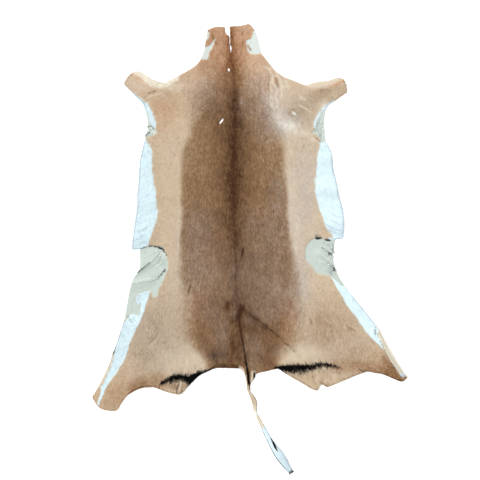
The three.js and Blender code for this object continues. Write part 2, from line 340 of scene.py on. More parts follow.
TONE_STREAKS = from_rows(
    Streak,
    ("tail stripe start", ((-30, -216), (-26, -245), (-21, -276)), 0.5, 0.8, 0.5),
    # Painted shade in the hair's partings along the rump's creases.
    ("rump crease", ((-14, -183), (42, -225), (85, -259), (134, -306)), 0.6, 0.4, 0.6, 2),
    ("rump crease shade", ((-14, -190), (42, -232), (85, -266)), 5, 1, 0.1, 10),
    ("rump crease branch", ((-25, -200), (-38, -213), (-54, -220)), 1, 0.6, 0.3, 4),
    ("rump crease middle", ((-26, -190), (-29, -212), (-27, -240)), 0.8, 0.6, 0.3, 3),
    ("rump crease lower", ((24, -312), (38, -330), (44, -350)), 0.5, 0.5, 0.16, 4),
    ("back mark", ((-19, -2), (-23, -24)), 2.5, 1.8, 0.36, 4),
    ("hip mark", ((-178, -112), (-184, -131)), 0.5, 1.6, 0.55, 2.2),
    ("thigh mark upper", ((182, -208), (187, -223)), 0.3, 1.2, 0.2, 4),
    ("thigh mark middle", ((246, -248), (250, -260)), 0.3, 0.9, 0.16, 4),
    ("thigh mark outer", ((292, -230), (318, -246)), 0.2, 0.8, 0.2, 4),
    ("thigh scratch", ((-302, -283), (-278, -259)), 0.1, 0.3, 0.3),
    ("thigh scratch upper", ((-306, -272), (-292, -260)), 0.1, 0.3, 0.2),
    ("thigh scratch inner", ((-262, -283), (-252, -277)), 0.5, 0.9, 0.16, 3),
    ("thigh brown left", THIGH_LEFT, 1, 6, 0.24, 36),
    # Painted shade with the leather edge's own darker colour: a dark line along the thigh's outline.
    ("thigh edge left", ((-364, -434), (-340, -418), (-319, -411), (-298, -412), (-268, -419)), 0.6, 0.6,
     0.4, 3),
    ("thigh brown right", THIGH_RIGHT, 1, 3, 0.22, 30),
    ("foot shade right", ((404, -324), (416, -344), (438, -374)), 0, 6, 0.24, 13),
    # Painted shade with the leather edge's own darker colour: dark lines along the flaps' and the right
    # thigh's outline.
    ("flap edge right", ((216, -400), (224, -406), (252, -405), (313, -380), (350, -365)), 0.6, 0.6, 0.3, 2),
    ("flap edge inner right", ((206, -417), (197, -421), (163, -403), (108, -371)), 0.6, 0.6, 0.26, 2),
    ("flap edge left", ((-285, -413), (-247, -427), (-215, -433), (-202, -430)), 0.6, 0.6, 0.26, 2),
    ("thigh edge right", ((350, -365), (374, -368), (399, -373), (426, -385), (454, -396)), 0.6, 0.8, 0.3,
     3),
    ("armpit mark right", ((192, 339), (203, 331), (212, 324)), 1, 2, 0.18, 3),
    # Painted shade along the rump's left outline.
    ("rump edge left", ((-115, -357), (-100, -350), (-68, -350), (-36, -351)), 1, 1, 0.3, 5),
    ("tail root pale left", ((-24, -358), (-15, -372), (-11, -392), (-8, -412)), 3.5, 3, -1, 2),
    ("tail root pale right", ((8, -370), (8, -384), (4, -398)), 2.4, 1.8, -0.7, 2),
    ("neck streak left", ((-114, 650), (-108, 632), (-98, 616)), 0.6, 1, 0.22, 4),
    ("neck streak right", ((-22, 650), (-20, 622), (-26, 596)), 0.4, 0.8, 0.16, 4),
    ("neck sliver", NECK_SLIVER, 1.6, 1.6, 0.18),
    ("shoulder rub teardrop", ((80, 510), (86, 488)), 1, 3, 0.26, 4.5),
    ("shoulder rub dark", ((99, 504), (106, 488)), 0.6, 1.2, 0.12, 4),
    ("shoulder rub dark inner", ((60, 522), (57, 500), (58, 480)), 0.6, 1.2, 0.14, 4),
    ("nape streak first", ((12, 556), (17, 520), (13, 492)), 0.2, 0.6, 0.08, 3),
    ("nape streak second", ((33, 524), (30, 480), (33, 446)), 0.2, 0.6, 0.08, 3),
    ("nape streak third", ((51, 518), (46, 490), (49, 470)), 0.2, 0.5, 0.08, 3),
    ("shoulder scar fold", ((116, 410), (124, 400), (132, 396)), 0.2, 0.5, 0.2),
    ("shoulder scar fold upper", ((120, 420), (132, 418)), 0.3, 0.5, 0.14),
    ("shoulder scar shade", ((122, 412), (128, 420), (138, 418)), 2, 2, 0.05, 6),
    ("foreleg dark left", ((-302, 468), (-285, 473)), 1.4, 2, 0.34, 4),
    ("foreleg dark small left", ((-318, 452), (-308, 457)), 1, 1, 0.4, 3),
    ("foreleg dark upper left", ((-322, 492), (-312, 490)), 0.8, 0.8, 0.25, 3),
    # Painted shade along the neck's outline and the slit's edges.
    ("neck fringe left", ((-131, 630), (-120, 662), (-94, 668), (-75, 667)), 1, 1, 0.22, 3),
    ("neck fringe right", NECK_END_RIGHT, 1, 1, 0.22, 3),
    ("slit edge", ((-74, 662), (-63, 636), (-55, 600), (-52, 630), (-57, 664)), 1, 1, 0.2, 4),
)

WARM_STREAKS = from_rows(
    Streak,
    ("thigh rust left", THIGH_LEFT, 1, 6, 0.3, 36),
    ("thigh rust right", THIGH_RIGHT, 1, 3, 0.25, 30),
    ("tail root peach left", TAIL_ROOT_LEFT, 2.5, 2, 1.4, 3),
    ("foreleg orange left", ((-355, 524), (-332, 514), (-306, 492)), 2.5, 1.5, 1.6, 4),
    ("foreleg orange right", ((236, 487), (262, 497), (284, 508)), 1.5, 2.5, 1.4, 5),
    ("slit hair", ((-92, 375), (-97, 366)), 2, 1, 1.8, 4),
    ("neck edge left", ((-131, 640), (-120, 662), (-94, 668), (-75, 667)), 3, 3, 1.4, 6),
    ("neck edge right", NECK_END_RIGHT, 3, 3, 1.4, 6),
)

CREAM_STREAKS = from_rows(
    Streak,
    ("flank crinkle left first", ((-283, -2), (-270, -14), (-258, -34)), 0.3, 0.8, 0.7, 2),
    ("flank crinkle left second", ((-272, 4), (-262, -10), (-252, -24)), 0.3, 0.6, 0.7, 2),
    ("flank crinkle left third", ((-296, -30), (-282, -44), (-262, -62)), 0.2, 0.6, 0.5, 2),
    ("flank crinkle left low", ((-350, -98), (-325, -90), (-296, -86)), 0.4, 0.8, 0.35, 3),
    ("flank crinkle right first", ((212, 14), (230, 2), (250, -12)), 0.3, 1, 0.45, 3),
    ("flank crinkle right second", ((206, -30), (226, -42), (252, -54)), 0.3, 1, 0.45, 3),
    ("armpit crinkle left", ((-308, 346), (-298, 362), (-286, 368)), 0.8, 1, 0.6, 2),
    ("armpit crinkle low left", ((-302, 342), (-292, 352), (-284, 350)), 0.8, 1, 0.9, 2),
    ("flank crease third right", ((204, -4), (226, -20), (246, -38)), 0.2, 0.6, 0.4, 3),
    ("armpit mark edge right", ((188, 336), (200, 325), (210, 318)), 0.4, 0.8, 0.4, 3),
    ("shoulder blush right", ((150, 462), (158, 452), (168, 448)), 0.8, 1.2, 0.4, 4),
    ("flap light left", ((-205, -402), (-212, -424)), 1.4, 1.4, 0.6, 2),
    ("tail root buff left", TAIL_ROOT_LEFT, 2.5, 2, 0.5, 3),
    ("tail root buff right", ((7, -372), (7, -386), (4, -398)), 3, 2, 0.12),
    ("tail root tuft left", ((-30, -352), (-24, -357)), 1.2, 1.2, 0.6, 2),
    ("tail root tuft right", ((13, -366), (18, -370)), 1.2, 1.2, 0.8, 2),
    ("tail root light right", ((8, -374), (8, -384), (5, -393)), 1.4, 1, 0.38, 2),
    ("neck sliver pale", NECK_SLIVER, 2.2, 2.2, -0.9, 1.5),
    ("shoulder rub top", ((46, 547), (57, 541), (64, 526)), 0.3, 0.7, 0.6),
    ("shoulder rub loop", ((59, 536), (72, 543), (79, 532), (96, 524)), 0.6, 1, 0.7),
    ("shoulder rub left", ((73, 520), (69, 506), (75, 491), (87, 480)), 1.2, 0.6, 0.5, 3.5),
    ("shoulder rub right", ((82, 522), (94, 506), (99, 492), (119, 486)), 1.4, 0.6, 0.5, 3.5),
    ("shoulder rub bar", ((90, 500), (100, 504), (116, 500)), 0.6, 0.8, 0.5, 3),
    ("shoulder rub long", ((66, 506), (63, 487), (67, 466), (63, 448), (66, 428)), 0.4, 1.2, 0.45, 4),
    ("shoulder rub second", ((85, 474), (78, 457), (85, 440), (81, 423)), 1, 1.4, 0.45, 4),
    ("shoulder rub third", ((94, 487), (97, 470), (93, 453)), 0.6, 1, 0.5, 3),
    ("shoulder rub fourth", ((73, 452), (70, 436), (74, 420)), 0.3, 0.8, 0.4, 3),
    ("shoulder scar", ((130, 411), (137, 405)), 1, 1.8, 1, 1.6),
    ("shoulder crease right", ((150, 432), (172, 420), (186, 410)), 0.5, 0.5, 0.4, 3),
    ("foreleg crease left", ((-321, 450), (-295, 459), (-265, 466)), 0.5, 0.4, 0.5, 4),
    ("foreleg crease low left", ((-265, 466), (-246, 452)), 0.4, 0.2, 0.4, 4),
)

WHITE_STREAKS = from_rows(
    Streak,
    ("shoulder scar skin", ((131, 410), (136, 406)), 0.8, 1.2, 0.8, 1.4),
)

BLACK_STREAKS = from_rows(
    Streak,
    ("tail stripe", ((-21, -276), (-15, -310), (-11, -340), (-7, -366)), 0.3, 1.5, 1, 1.6),
    ("tail root stripe", ((-8, -356), (-5, -376), (-4, -396), (-2, -404)), 1.8, 3.4, 1.4, 1.6),
    ("tail root dark right", ((16, -373), (14, -386)), 1, 1.5, 1.2, 1.5),
)

BARE_STREAKS = from_rows(
    Streak,
    ("neck sliver skin", NECK_SLIVER, 1.2, 1.2, -1, 1.5),
)

# Dark marks: real stains, blotches and speckles, and painted shade in the skin's creases and wrinkles, under
# the belly's hems and beside the leg's roll.
STAIN_AND_SHADE_STREAKS = from_rows(
    Streak,
    ("flank crease left", ((-335, -69), (-318, -55), (-298, -38)), 0.7, 0, 0.9, 1.2),
    ("flank crinkle dark left", ((-276, -8), (-262, -28), (-256, -48)), 0.1, 0.3, 0.4, 2),
    ("leg band mark left", ((-366, -198), (-360, -206), (-354, -218)), 0.2, 0.2, 0.6, 2),
    ("leg band mark low left", ((-346, -228), (-339, -240)), 0.2, 0.6, 0.45),
    ("flank crease low left", ((-353, -106), (-325, -97), (-293, -93), (-272, -88)), 0.1, 0.2, 0.4, 2),
    ("flank stain left", ((-276, -84), (-264, -74), (-254, -62)), 1.6, 2.4, 0.42, 4),
    ("flank blotch left", ((-284, 10), (-274, 8), (-262, 2)), 2.2, 1.4, 0.72, 3),
    ("flank edge left", ((-259, 3), (-252, -8), (-248, -18)), 0.8, 0.5, 0.85, 1.6),
    # Painted shadow where the belly's hem lies over the bare skin.
    ("hem left", ((-331, 1), (-310, 9), (-288, 13)), 0.6, 0.8, 0.8, 1.5),
    ("flank crease right", ((213, 9), (230, -3), (244, -17)), 0.3, 0.5, 0.55, 1.3),
    ("flank crease low right", ((222, -39), (236, -47), (252, -56)), 0.3, 0.5, 0.5, 1.4),
    ("flank crease fine right", ((226, -32), (242, -45), (250, -49)), 0.1, 0.2, 0.4, 1.6),
    ("flank crease upper right", ((222, 22), (234, 14), (244, 8)), 0.1, 0.2, 0.34, 1.8),
    ("flank blotch right", ((199, 36), (206, 35), (213, 36)), 2.4, 2.4, 1, 2),
    ("flank blotch small right", ((229, 31), (240, 28)), 1.8, 1.8, 1, 2),
    # Painted shadow where the belly's hem lies over the bare skin.
    ("hem right", ((196, 40), (226, 38), (256, 33)), 0.5, 0.5, 0.4, 1.5),
    ("armpit wrinkle upper left", ((-304, 368), (-297, 370), (-289, 366), (-287, 360)), 0.5, 0.1, 0.7, 1.4),
    ("armpit wrinkle middle left", ((-302, 360), (-296, 358)), 0.4, 0.1, 0.5, 1.6),
    ("armpit wrinkle lower left", ((-298, 355), (-294, 346)), 0.2, 0.1, 0.45, 1.6),
    ("armpit wrinkle outer left", ((-312, 340), (-303, 351)), 0.4, 0.1, 0.6, 1.5),
    ("armpit spot left", ((-323, 427), (-321, 425)), 0.8, 0.8, 0.7, 2),
    ("leg speckle right", ((378, -232), (376, -246), (377, -258)), 1.2, 1.8, 0.42, 3),
    ("thigh crease right", ((328, -357), (334, -361), (342, -366)), 0.3, 0.9, 0.8, 1.4),
    ("leg roll shadow right", ((386, -262), (400, -292), (419, -330), (440, -366)), 0.2, 0.6, 0.5),
    ("leg stain left", ((-405, -300), (-410, -316)), 1.6, 0.6, 0.65, 3),
    ("flap crease left", ((-210, -401), (-216, -415), (-219, -430)), 0.8, 0.6, 0.7, 1.5),
    ("flap mark left", ((-203, -420), (-201, -426)), 1, 1.2, 0.8, 1.5),
    ("foreleg tip", ((287, 494), (288, 488)), 0.2, 0.4, 0.8, 1.2),
    ("tail root fray left", ((-14, -378), (-13, -386), (-12, -394)), 0.8, 1, 0.6, 1.5),
    ("foreleg dot right", ((282, 503), (285, 501)), 0.6, 0.6, 0.9, 1.5),
)

# Painted shade: soft on the left leg band's upper edge, and grey lines in the belly flaps' waves.
PAINTED_SHADE_STREAKS = from_rows(
    Streak,
    ("leg band fade left", ((-306, -126), (-326, -136), (-338, -152)), 0, 2, 0.22, 10),
    ("flap strand right first", ((226, 76), (250, 62), (275, 55)), 0.2, 0.5, 0.8),
    ("flap strand right second", ((232, 60), (254, 50), (277, 45)), 0.2, 0.5, 0.8),
    ("flap strand right third", ((244, 88), (262, 78), (278, 72)), 0.2, 0.4, 0.7),
    ("flap strand right fourth", ((250, 104), (266, 97), (279, 93)), 0.1, 0.3, 0.6),
    ("flap strand left first", ((-312, 44), (-330, 34), (-350, 24)), 0.1, 0.4, 0.6),
    ("flap strand left second", ((-306, 66), (-326, 56), (-348, 48)), 0.1, 0.4, 0.6),
    ("flap strand left third", ((-318, 22), (-332, 14), (-350, 6)), 0.1, 0.4, 0.6),
)

STREAKS: dict[Zone, tuple[Streak, ...]] = {
    Zone.TONE: TONE_STREAKS,
    Zone.WARM: WARM_STREAKS,
    Zone.CREAM: CREAM_STREAKS,
    Zone.WHITE: WHITE_STREAKS,
    Zone.BLACK: BLACK_STREAKS,
    Zone.BARE: BARE_STREAKS,
    Zone.STAIN_AND_SHADE: STAIN_AND_SHADE_STREAKS,
    Zone.PAINTED_SHADE: PAINTED_SHADE_STREAKS,
}


@dataclass(frozen=True)
class Patch:
    """A soft oval of colour: its middle, its two half widths and how strong it is."""

    name: str
    x: float
    y: float
    across: float
    along: float
    strength: float


TONE_PATCHES = from_rows(
    Patch,
    ("nape light right", 6, 545, 30, 40, -0.1),
    ("nape dark right", 36, 505, 30, 30, 0.03),
    ("foreleg brown right", 228, 474, 26, 12, 0.12),
    ("neck mottle left", -108, 636, 22, 26, 0.04),
    ("neck mottle right", -18, 640, 28, 26, -0.04),
    ("nape mottle left", -130, 548, 28, 28, 0.05),
    ("neck light", -84, 600, 24, 60, -0.1),
    ("neck light right", -26, 628, 14, 40, -0.08),
    ("foreleg light left", -330, 500, 50, 34, -0.16),
    ("shoulder dark left", -250, 425, 60, 40, 0.05),
    ("foreleg dark right", 225, 462, 60, 30, 0.14),
    ("shoulder dark right", 150, 412, 46, 36, 0.17),
    ("shoulder shade", 56, 410, 30, 60, 0.07),
    ("withers dark left", -110, 430, 50, 50, 0.08),
    # Painted highlight on the withers, together with the withers' mauve patch.
    ("withers light", -24, 442, 8, 12, -0.16),
    ("thigh dark left", -270, -240, 110, 110, 0.15),
    ("thigh low dark left", -330, -330, 80, 60, 0.06),
    ("thigh dark right", 240, -240, 110, 90, 0.2),
    ("thigh low dark right", 350, -320, 90, 40, 0.14),
    ("flap dark right", 220, -390, 90, 28, 0.1),
    ("foot dark left", -385, -440, 70, 50, 0.14),
    ("foot dark right", 412, -370, 46, 26, 0.36),
    ("foot edge dark right", 452, -388, 22, 12, 0.6),
    ("hip dark right", 146, -110, 30, 90, 0.06),
    ("back sheen light", 4, 84, 9, 26, -0.08),
    ("rump brown left dark", -150, -205, 36, 50, 0.06),
    ("rump knot left dark", -66, -176, 9, 20, 0.22),
    ("rump knot", -24, -176, 7, 10, 0.5),
    ("rump knot low", -34, -200, 8, 6, 0.26),
    ("rump knot light", -46, -188, 8, 12, -0.14),
    ("rump band dark", 34, -240, 50, 18, 0.13),
    ("rump mauve left light", -82, -268, 14, 46, -0.08),
    ("rump olive dark", -46, -296, 15, 60, 0.15),
    ("rump mauve right light", 10, -305, 20, 36, -0.06),
    ("rump brown right dark", 62, -326, 20, 34, 0.16),
    ("rump brown low left", -112, -326, 18, 34, 0.2),
    ("spine deep", -41, 430, 12, 50, 0.1),
    ("tab dark left", -220, -410, 26, 15, 0.36),
    ("tail root light", 13, -350, 18, 12, -0.16),
    ("tail stripe light right", -8, -277, 9, 28, -0.12),
    ("hip light left", -164, -132, 20, 26, -0.12),
    ("hip light right", 101, -126, 24, 34, -0.14),
    ("foot light right", 440, -380, 14, 12, -0.16),
    ("foreleg light right", 250, 467, 22, 12, -0.14),
    ("tail stripe light low", -9, -352, 8, 12, -0.16),
    ("rump dark low left", -76, -310, 26, 44, 0.1),
    ("flank shade right", 166, 190, 40, 170, 0.05),
)

WARM_PATCHES = from_rows(
    Patch,
    ("neck red", -60, 650, 130, 80, 1.3),
    ("nape red left", -110, 530, 110, 70, 0.5),
    ("nape red right", 30, 540, 50, 60, 0.2),
    ("foreleg warm left", -330, 480, 50, 26, 0.25),
    ("armpit warm left", -250, 400, 60, 60, 0.3),
    ("nape rose", -60, 590, 90, 50, 0.3),
    ("shoulder warm left", -270, 420, 80, 60, 0.25),
    ("nape rose right", 60, 500, 40, 50, 0.3),
    ("hind leg warm left", -370, -440, 90, 70, 0.55),
    ("hind leg warm right", 400, -370, 80, 60, 0.4),
    ("shoulder rose left", -180, 496, 50, 40, 0.2),
    ("loin brown left", -100, 10, 40, 60, 0.3),
    ("loin brown low left", -150, -150, 50, 30, 0.3),
    ("rump brown left", -150, -205, 36, 50, 0.3),
    ("rump knot left", -66, -176, 11, 20, 0.5),
    ("rump knot warm", -22, -178, 13, 13, 0.6),
    ("rump fawn right", 120, -196, 34, 60, 0.4),
    ("rump olive", -46, -308, 14, 46, 0.4),
    ("rump brown right", 66, -322, 22, 36, 0.4),
)

MAUVE_PATCHES = from_rows(
    Patch,
    ("thigh cool left", -270, -270, 120, 130, 0.45),
    ("thigh cool right", 280, -290, 130, 100, 0.25),
    ("saddle mauve low left", -150, 60, 46, 60, 0.8),
    ("saddle mauve low right", 66, 60, 50, 60, 0.7),
    ("rump mauve high right", 46, -140, 60, 46, 0.8),
    ("shoulder cool right", 160, 436, 50, 40, 0.3),
    ("shoulder mauve", 50, 415, 50, 90, 1),
    # Painted highlight: a mauve sheen on the withers.
    ("withers mauve", -24, 430, 22, 40, 1),
    ("nape mauve left", -120, 460, 50, 60, 0.7),
    ("nape mauve right", 20, 500, 30, 30, 0.25),
    ("flank cool right", 165, 180, 50, 170, 0.6),
    ("hip mauve right", 146, -130, 40, 110, 0.45),
    ("loin mauve", 20, -80, 110, 110, 1),
    ("loin mauve left", -150, -40, 60, 110, 0.9),
    ("loin mauve middle", -42, -90, 16, 60, 1.4),
    ("back sheen", 82, 160, 26, 60, 0.8),
    ("back sheen low", 6, 84, 16, 40, 0.8),
    ("rump knot mauve", -44, -196, 16, 16, 1),
    ("rump knot mauve right", 6, -212, 16, 12, 1.2),
    ("rump mauve wide left", -120, -190, 30, 40, 0.9),
    ("rump mauve wide right", 52, -186, 50, 36, 0.8),
    ("rump mauve left", -82, -268, 18, 52, 1.8),
    ("rump mauve right", 12, -305, 26, 44, 1.5),
    ("pale shoulder cool right", 110, 378, 50, 30, 1),
)

CREAM_PATCHES = from_rows(
    Patch,
    ("foreleg pale left", -330, 486, 50, 26, 0.26),
    ("shoulder pale left", -180, 496, 44, 30, 0.1),
    ("cream rump left", -190, -335, 70, 30, 0.16),
    ("cream rump right", 155, -312, 64, 24, 0.24),
    ("pale shoulder left", -208, 376, 26, 36, 0.12),
    ("pale flank left", -236, 300, 36, 90, 0.1),
    ("pale edge right", 126, 210, 10, 140, 0.12),
    ("pale edge low right", 140, 60, 9, 70, 0.2),
    ("pale shoulder right", 84, 396, 15, 20, 0.4),
    ("pale shoulder middle right", 104, 380, 16, 12, 0.45),
    ("pale shoulder low right", 128, 364, 22, 13, 0.62),
    ("pale shoulder end right", 150, 347, 26, 9, 0.4),
    ("pale nape right", 112, 488, 34, 12, 0.3),
    ("pale nape left", -226, 486, 34, 14, 0.35),
    ("armpit skin right", 226, 390, 14, 60, 0.55),
    ("foreleg edge dark right", 133, 490, 16, 14, -0.4),
    ("shoulder rub low", 67, 499, 14, 12, -0.2),
    ("armpit pale right", 190, 331, 11, 9, 0.35),
    ("neck pale right", -8, 664, 18, 10, 0.2),
    ("leg cream skin left", -412, -331, 14, 20, 0.5),
    ("armpit skin left", -306, 390, 10, 34, 0.4),
)

WHITE_PATCHES = from_rows(
    Patch,
    ("pale shoulder white right", 120, 372, 40, 20, 0.36),
    ("leg cream left", -412, -331, 12, 18, -0.52),
)

STAIN_PATCHES = from_rows(
    Patch,
    ("armpit speckle right", 214, 376, 20, 56, 0.24),
    ("armpit speckle dark right", 202, 350, 14, 12, 0.1),
    ("armpit speckle left", -302, 352, 10, 16, 0.34),
    ("flank speckle right", 240, -4, 20, 34, 0.32),
    ("flank speckle low right", 252, -60, 24, 18, 0.3),
    ("flank speckle left", -262, -8, 14, 22, 0.26),
)

PATCHES: dict[Zone, tuple[Patch, ...]] = {
    Zone.TONE: TONE_PATCHES,
    Zone.WARM: WARM_PATCHES,
    Zone.MAUVE: MAUVE_PATCHES,
    Zone.CREAM: CREAM_PATCHES,
    Zone.WHITE: WHITE_PATCHES,
    Zone.STAIN_AND_SHADE: STAIN_PATCHES,
}


@dataclass(frozen=True)
class Crease:
    """A trough in the hair along a line, with its half width and depth."""

    name: str
    line: Points
    half: float
    deep: float


CREASES = from_rows(
    Crease,
    ("rump right", ((-14, -183), (42, -225), (85, -259), (134, -306)), 4.5, 2.2),
    ("rump branch", ((-22, -192), (-38, -213), (-54, -220)), 4.5, 1.6),
    ("rump knot", ((-26, -166), (-24, -184)), 6, 2),
    ("rump middle", ((-26, -190), (-29, -212), (-30, -216)), 4, 1.4),
    ("tail stripe", ((-30, -216), (-23, -266), (-15, -310), (-10, -344), (-5, -370)), 4, 1.6),
    ("rump lower", ((20, -305), (38, -330), (44, -352)), 5, 1.3),
    ("spine", ((-48, 500), (-46, 373), (-46, 178), (-44, 43), (-41, -77), (-36, -160)), 5, 1.1),
    ("withers", ((-18, 448), (-6, 440), (-2, 424)), 4.5, 1.2),
    ("shoulder rub", ((76, 530), (84, 512), (80, 492), (90, 470)), 5, 1.3),
    ("shoulder rub outer", ((96, 524), (104, 502), (100, 484)), 5, 1.2),
    ("shoulder rub inner", ((56, 548), (62, 520), (58, 494)), 5, 1),
    ("shoulder scar", ((124, 404), (126, 416), (138, 418), (144, 408)), 4, 0.7),
    ("shoulder crease right", ((148, 436), (172, 424), (188, 408)), 4.5, 1.4),
    ("foreleg crease left", ((-321, 444), (-295, 452), (-265, 461), (-246, 448)), 4.5, 1.6),
    ("foreleg crease upper left", ((-306, 466), (-285, 472)), 4, 1.4),
    ("foreleg crease right", ((196, 478), (226, 476), (258, 490)), 5, 1.2),
    ("shoulder left long", ((-236, 470), (-200, 478), (-160, 500)), 5, 1),
    ("shoulder left second", ((-244, 458), (-204, 462), (-168, 478)), 5, 0.9),
    ("shoulder left third", ((-230, 446), (-196, 446), (-170, 452)), 5, 0.8),
    ("hip mark", ((-176, -110), (-184, -132)), 4, 1.4),
    ("thigh scratch", ((-304, -284), (-278, -258)), 4, 1),
    ("thigh mark upper", ((180, -204), (188, -226)), 4, 1),
    ("thigh mark outer", ((290, -228), (320, -248)), 4, 1.2),
    ("hind foot left", ((-440, -420), (-420, -404), (-398, -404)), 5, 1),
    ("hind foot left low", ((-410, -436), (-392, -420), (-376, -404)), 5, 0.8),
    ("flap right", ((150, -384), (176, -392), (200, -404)), 6, 1),
)


@dataclass(frozen=True)
class Lie:
    """Which way the hair lies round one place, and how long it is there."""

    name: str
    x: float
    y: float
    across: float
    along: float
    length: float


LIES = from_rows(
    Lie,
    ("neck left", -110, 640, -0.12, -1, 8),
    ("neck right", -10, 640, 0.12, -1, 8),
    ("nape", -50, 500, 0, -1, 9),
    ("shoulder left", -180, 450, -0.75, -0.75, 9),
    ("shoulder right", 90, 450, 0.6, -0.85, 9),
    ("foreleg left", -330, 495, -1, 0.35, 7),
    ("foreleg right", 250, 480, 1, 0.2, 7),
    ("armpit left", -300, 400, -0.5, -0.9, 8),
    ("armpit right", 210, 400, 0.4, -0.9, 8),
    ("withers", -46, 330, 0, -1, 11),
    ("back left", -150, 180, -0.2, -1, 11),
    ("back right", 70, 180, 0.2, -1, 11),
    ("flank left", -250, 150, -0.45, -1, 10),
    ("flank right", 170, 150, 0.45, -1, 10),
    ("belly left", -320, 150, -0.8, -0.8, 13),
    ("belly right", 250, 150, 0.8, -0.8, 13),
    ("loin", -30, -80, 0.04, -1, 12),
    ("hip left", -200, -120, -0.2, -1, 11),
    ("hip right", 150, -120, 0.25, -1, 11),
    ("rump left", -110, -320, -0.1, -1, 13),
    ("rump right", 60, -320, 0.12, -1, 13),
    ("buttock left", -210, -390, -0.35, -1, 18),
    ("buttock right", 200, -370, 0.35, -1, 20),
    ("hind leg left", -350, -330, -0.55, -1, 8),
    ("hind foot left", -425, -450, -0.8, -0.9, 7),
    ("hind leg right", 320, -280, 0.7, -0.8, 8),
    ("hind foot right", 440, -375, 1, -0.7, 7),
)


@dataclass(frozen=True)
class TailRow:
    """One cross section of the tail: its middle, full width, height and colour."""

    x: float
    y: float
    wide: float
    high: float
    cream: float
    white: float


TAIL = from_rows(
    TailRow,
    (-5, -402, 2, 1.6, 0.1, 0),
    (-5, -409, 6, 3.2, 0.2, 0),
    (-4, -418, 7, 3.4, 0.35, 0),
    (-1, -427, 6.5, 3.6, 0.4, 0),
    (8, -442, 12, 5.5, 0.3, 0),
    (15, -459, 14.5, 6.5, 0.35, 0),
    (16, -475, 11.5, 5, 0.7, 0),
    (17, -484, 8.5, 4, 0.9, 0.1),
    (20, -491, 5.5, 3.4, 0.9, 0.6),
    (24, -499, 6.5, 3.8, 0.4, 0.1),
    (30, -512, 9, 5, 0.5, 0.1),
    (38, -527, 10, 6.5, 0.6, 0.35),
    (47, -546, 12.5, 8, 0.2, 1),
    (58, -567, 15, 9.5, 0, 1),
    (73, -592, 21, 11, 0, 1),
    (88, -614, 26, 11.5, 0, 1),
    (101, -633, 25, 10.5, 0, 1),
    (112, -650, 19, 8.5, 0, 1),
    (121, -662, 14, 5.5, 0, 1),
    (126, -669, 9, 3, 0, 1),
)


def smooth(low: float | Array, high: float | Array, value: Array) -> Array:
    """A soft step from 0 at low to 1 at high.

    Args:
        low: where the step starts.
        high: where it ends.
        value: the values to step.

    Returns:
        The step's value for each.
    """
    t = np.clip((value - low) / (high - low), 0.0, 1.0)
    return t * t * (3.0 - 2.0 * t)


def through(points: Points | Array, steps: int) -> Array:
    """A smooth curve through points: a Catmull-Rom spline, with its end points doubled.

    Args:
        points: the points, each a row of any number of columns.
        steps: how many pieces each gap between two points gets.

    Returns:
        The curve's points, the first and last included.
    """
    rows = np.asarray(points, dtype=float)
    before = np.vstack([rows[:1], rows[:-2]]) if len(rows) > 2 else rows[:1]
    after = np.vstack([rows[2:], rows[-1:]]) if len(rows) > 2 else rows[-1:]
    start = rows[:-1]
    end = rows[1:]
    t = (np.arange(steps) / steps)[None, :, None]
    pull_out = 0.5 * (end - before)[:, None, :]
    pull_in = 0.5 * (after - start)[:, None, :]
    a = start[:, None, :]
    b = end[:, None, :]
    curve = (
        (2 * t**3 - 3 * t**2 + 1) * a
        + (t**3 - 2 * t**2 + t) * pull_out
        + (-2 * t**3 + 3 * t**2) * b
        + (t**3 - t**2) * pull_in
    )
    return np.vstack([curve.reshape(-1, rows.shape[1]), rows[-1:]])


def from_line(x: Array, y: Array, line: Array) -> tuple[Array, Array]:
    """How far points lie from a line of straight pieces.

    Args:
        x: the points' places across.
        y: the points' places along.
        line: the line's corners.

    Returns:
        Each point's distance, and how far along the line its nearest place is, from 0 to 1.
    """
    nearest = np.full(x.shape, np.inf)
    where = np.zeros(x.shape)
    pieces = len(line) - 1
    for i in range(pieces):
        dx, dy = line[i + 1] - line[i]
        t = np.clip(((x - line[i, 0]) * dx + (y - line[i, 1]) * dy) / max(dx * dx + dy * dy, 1e-9), 0, 1)
        away = (x - line[i, 0] - t * dx) ** 2 + (y - line[i, 1] - t * dy) ** 2
        closer = away < nearest
        nearest = np.where(closer, away, nearest)
        where = np.where(closer, (i + t) / pieces, where)
    return np.sqrt(nearest), where


def inside(x: Array, y: Array, ring: Array) -> Array:
    """Whether points lie inside a closed ring, from how often a ray to the right crosses it.

    Args:
        x: the points' places across.
        y: the points' places along.
        ring: the ring's corners, the first not repeated.

    Returns:
        True for each point inside.
    """
    crossed = np.zeros(x.shape, dtype=bool)
    for (ax, ay), (bx, by) in zip(ring, np.roll(ring, -1, axis=0)):
        if ay == by:
            continue
        spans = (ay > y) != (by > y)
        crossed ^= spans & (x < ax + (y - ay) * (bx - ax) / (by - ay))
    return crossed


def depth_in(x: Array, y: Array, ring: Array) -> Array:
    """How deep points lie inside a closed ring, negative outside it.

    Args:
        x: the points' places across.
        y: the points' places along.
        ring: the ring's corners, the first not repeated.

    Returns:
        Each point's depth.
    """
    away, _ = from_line(x, y, np.vstack([ring, ring[:1]]))
    return np.where(inside(x, y, ring), away, -away)


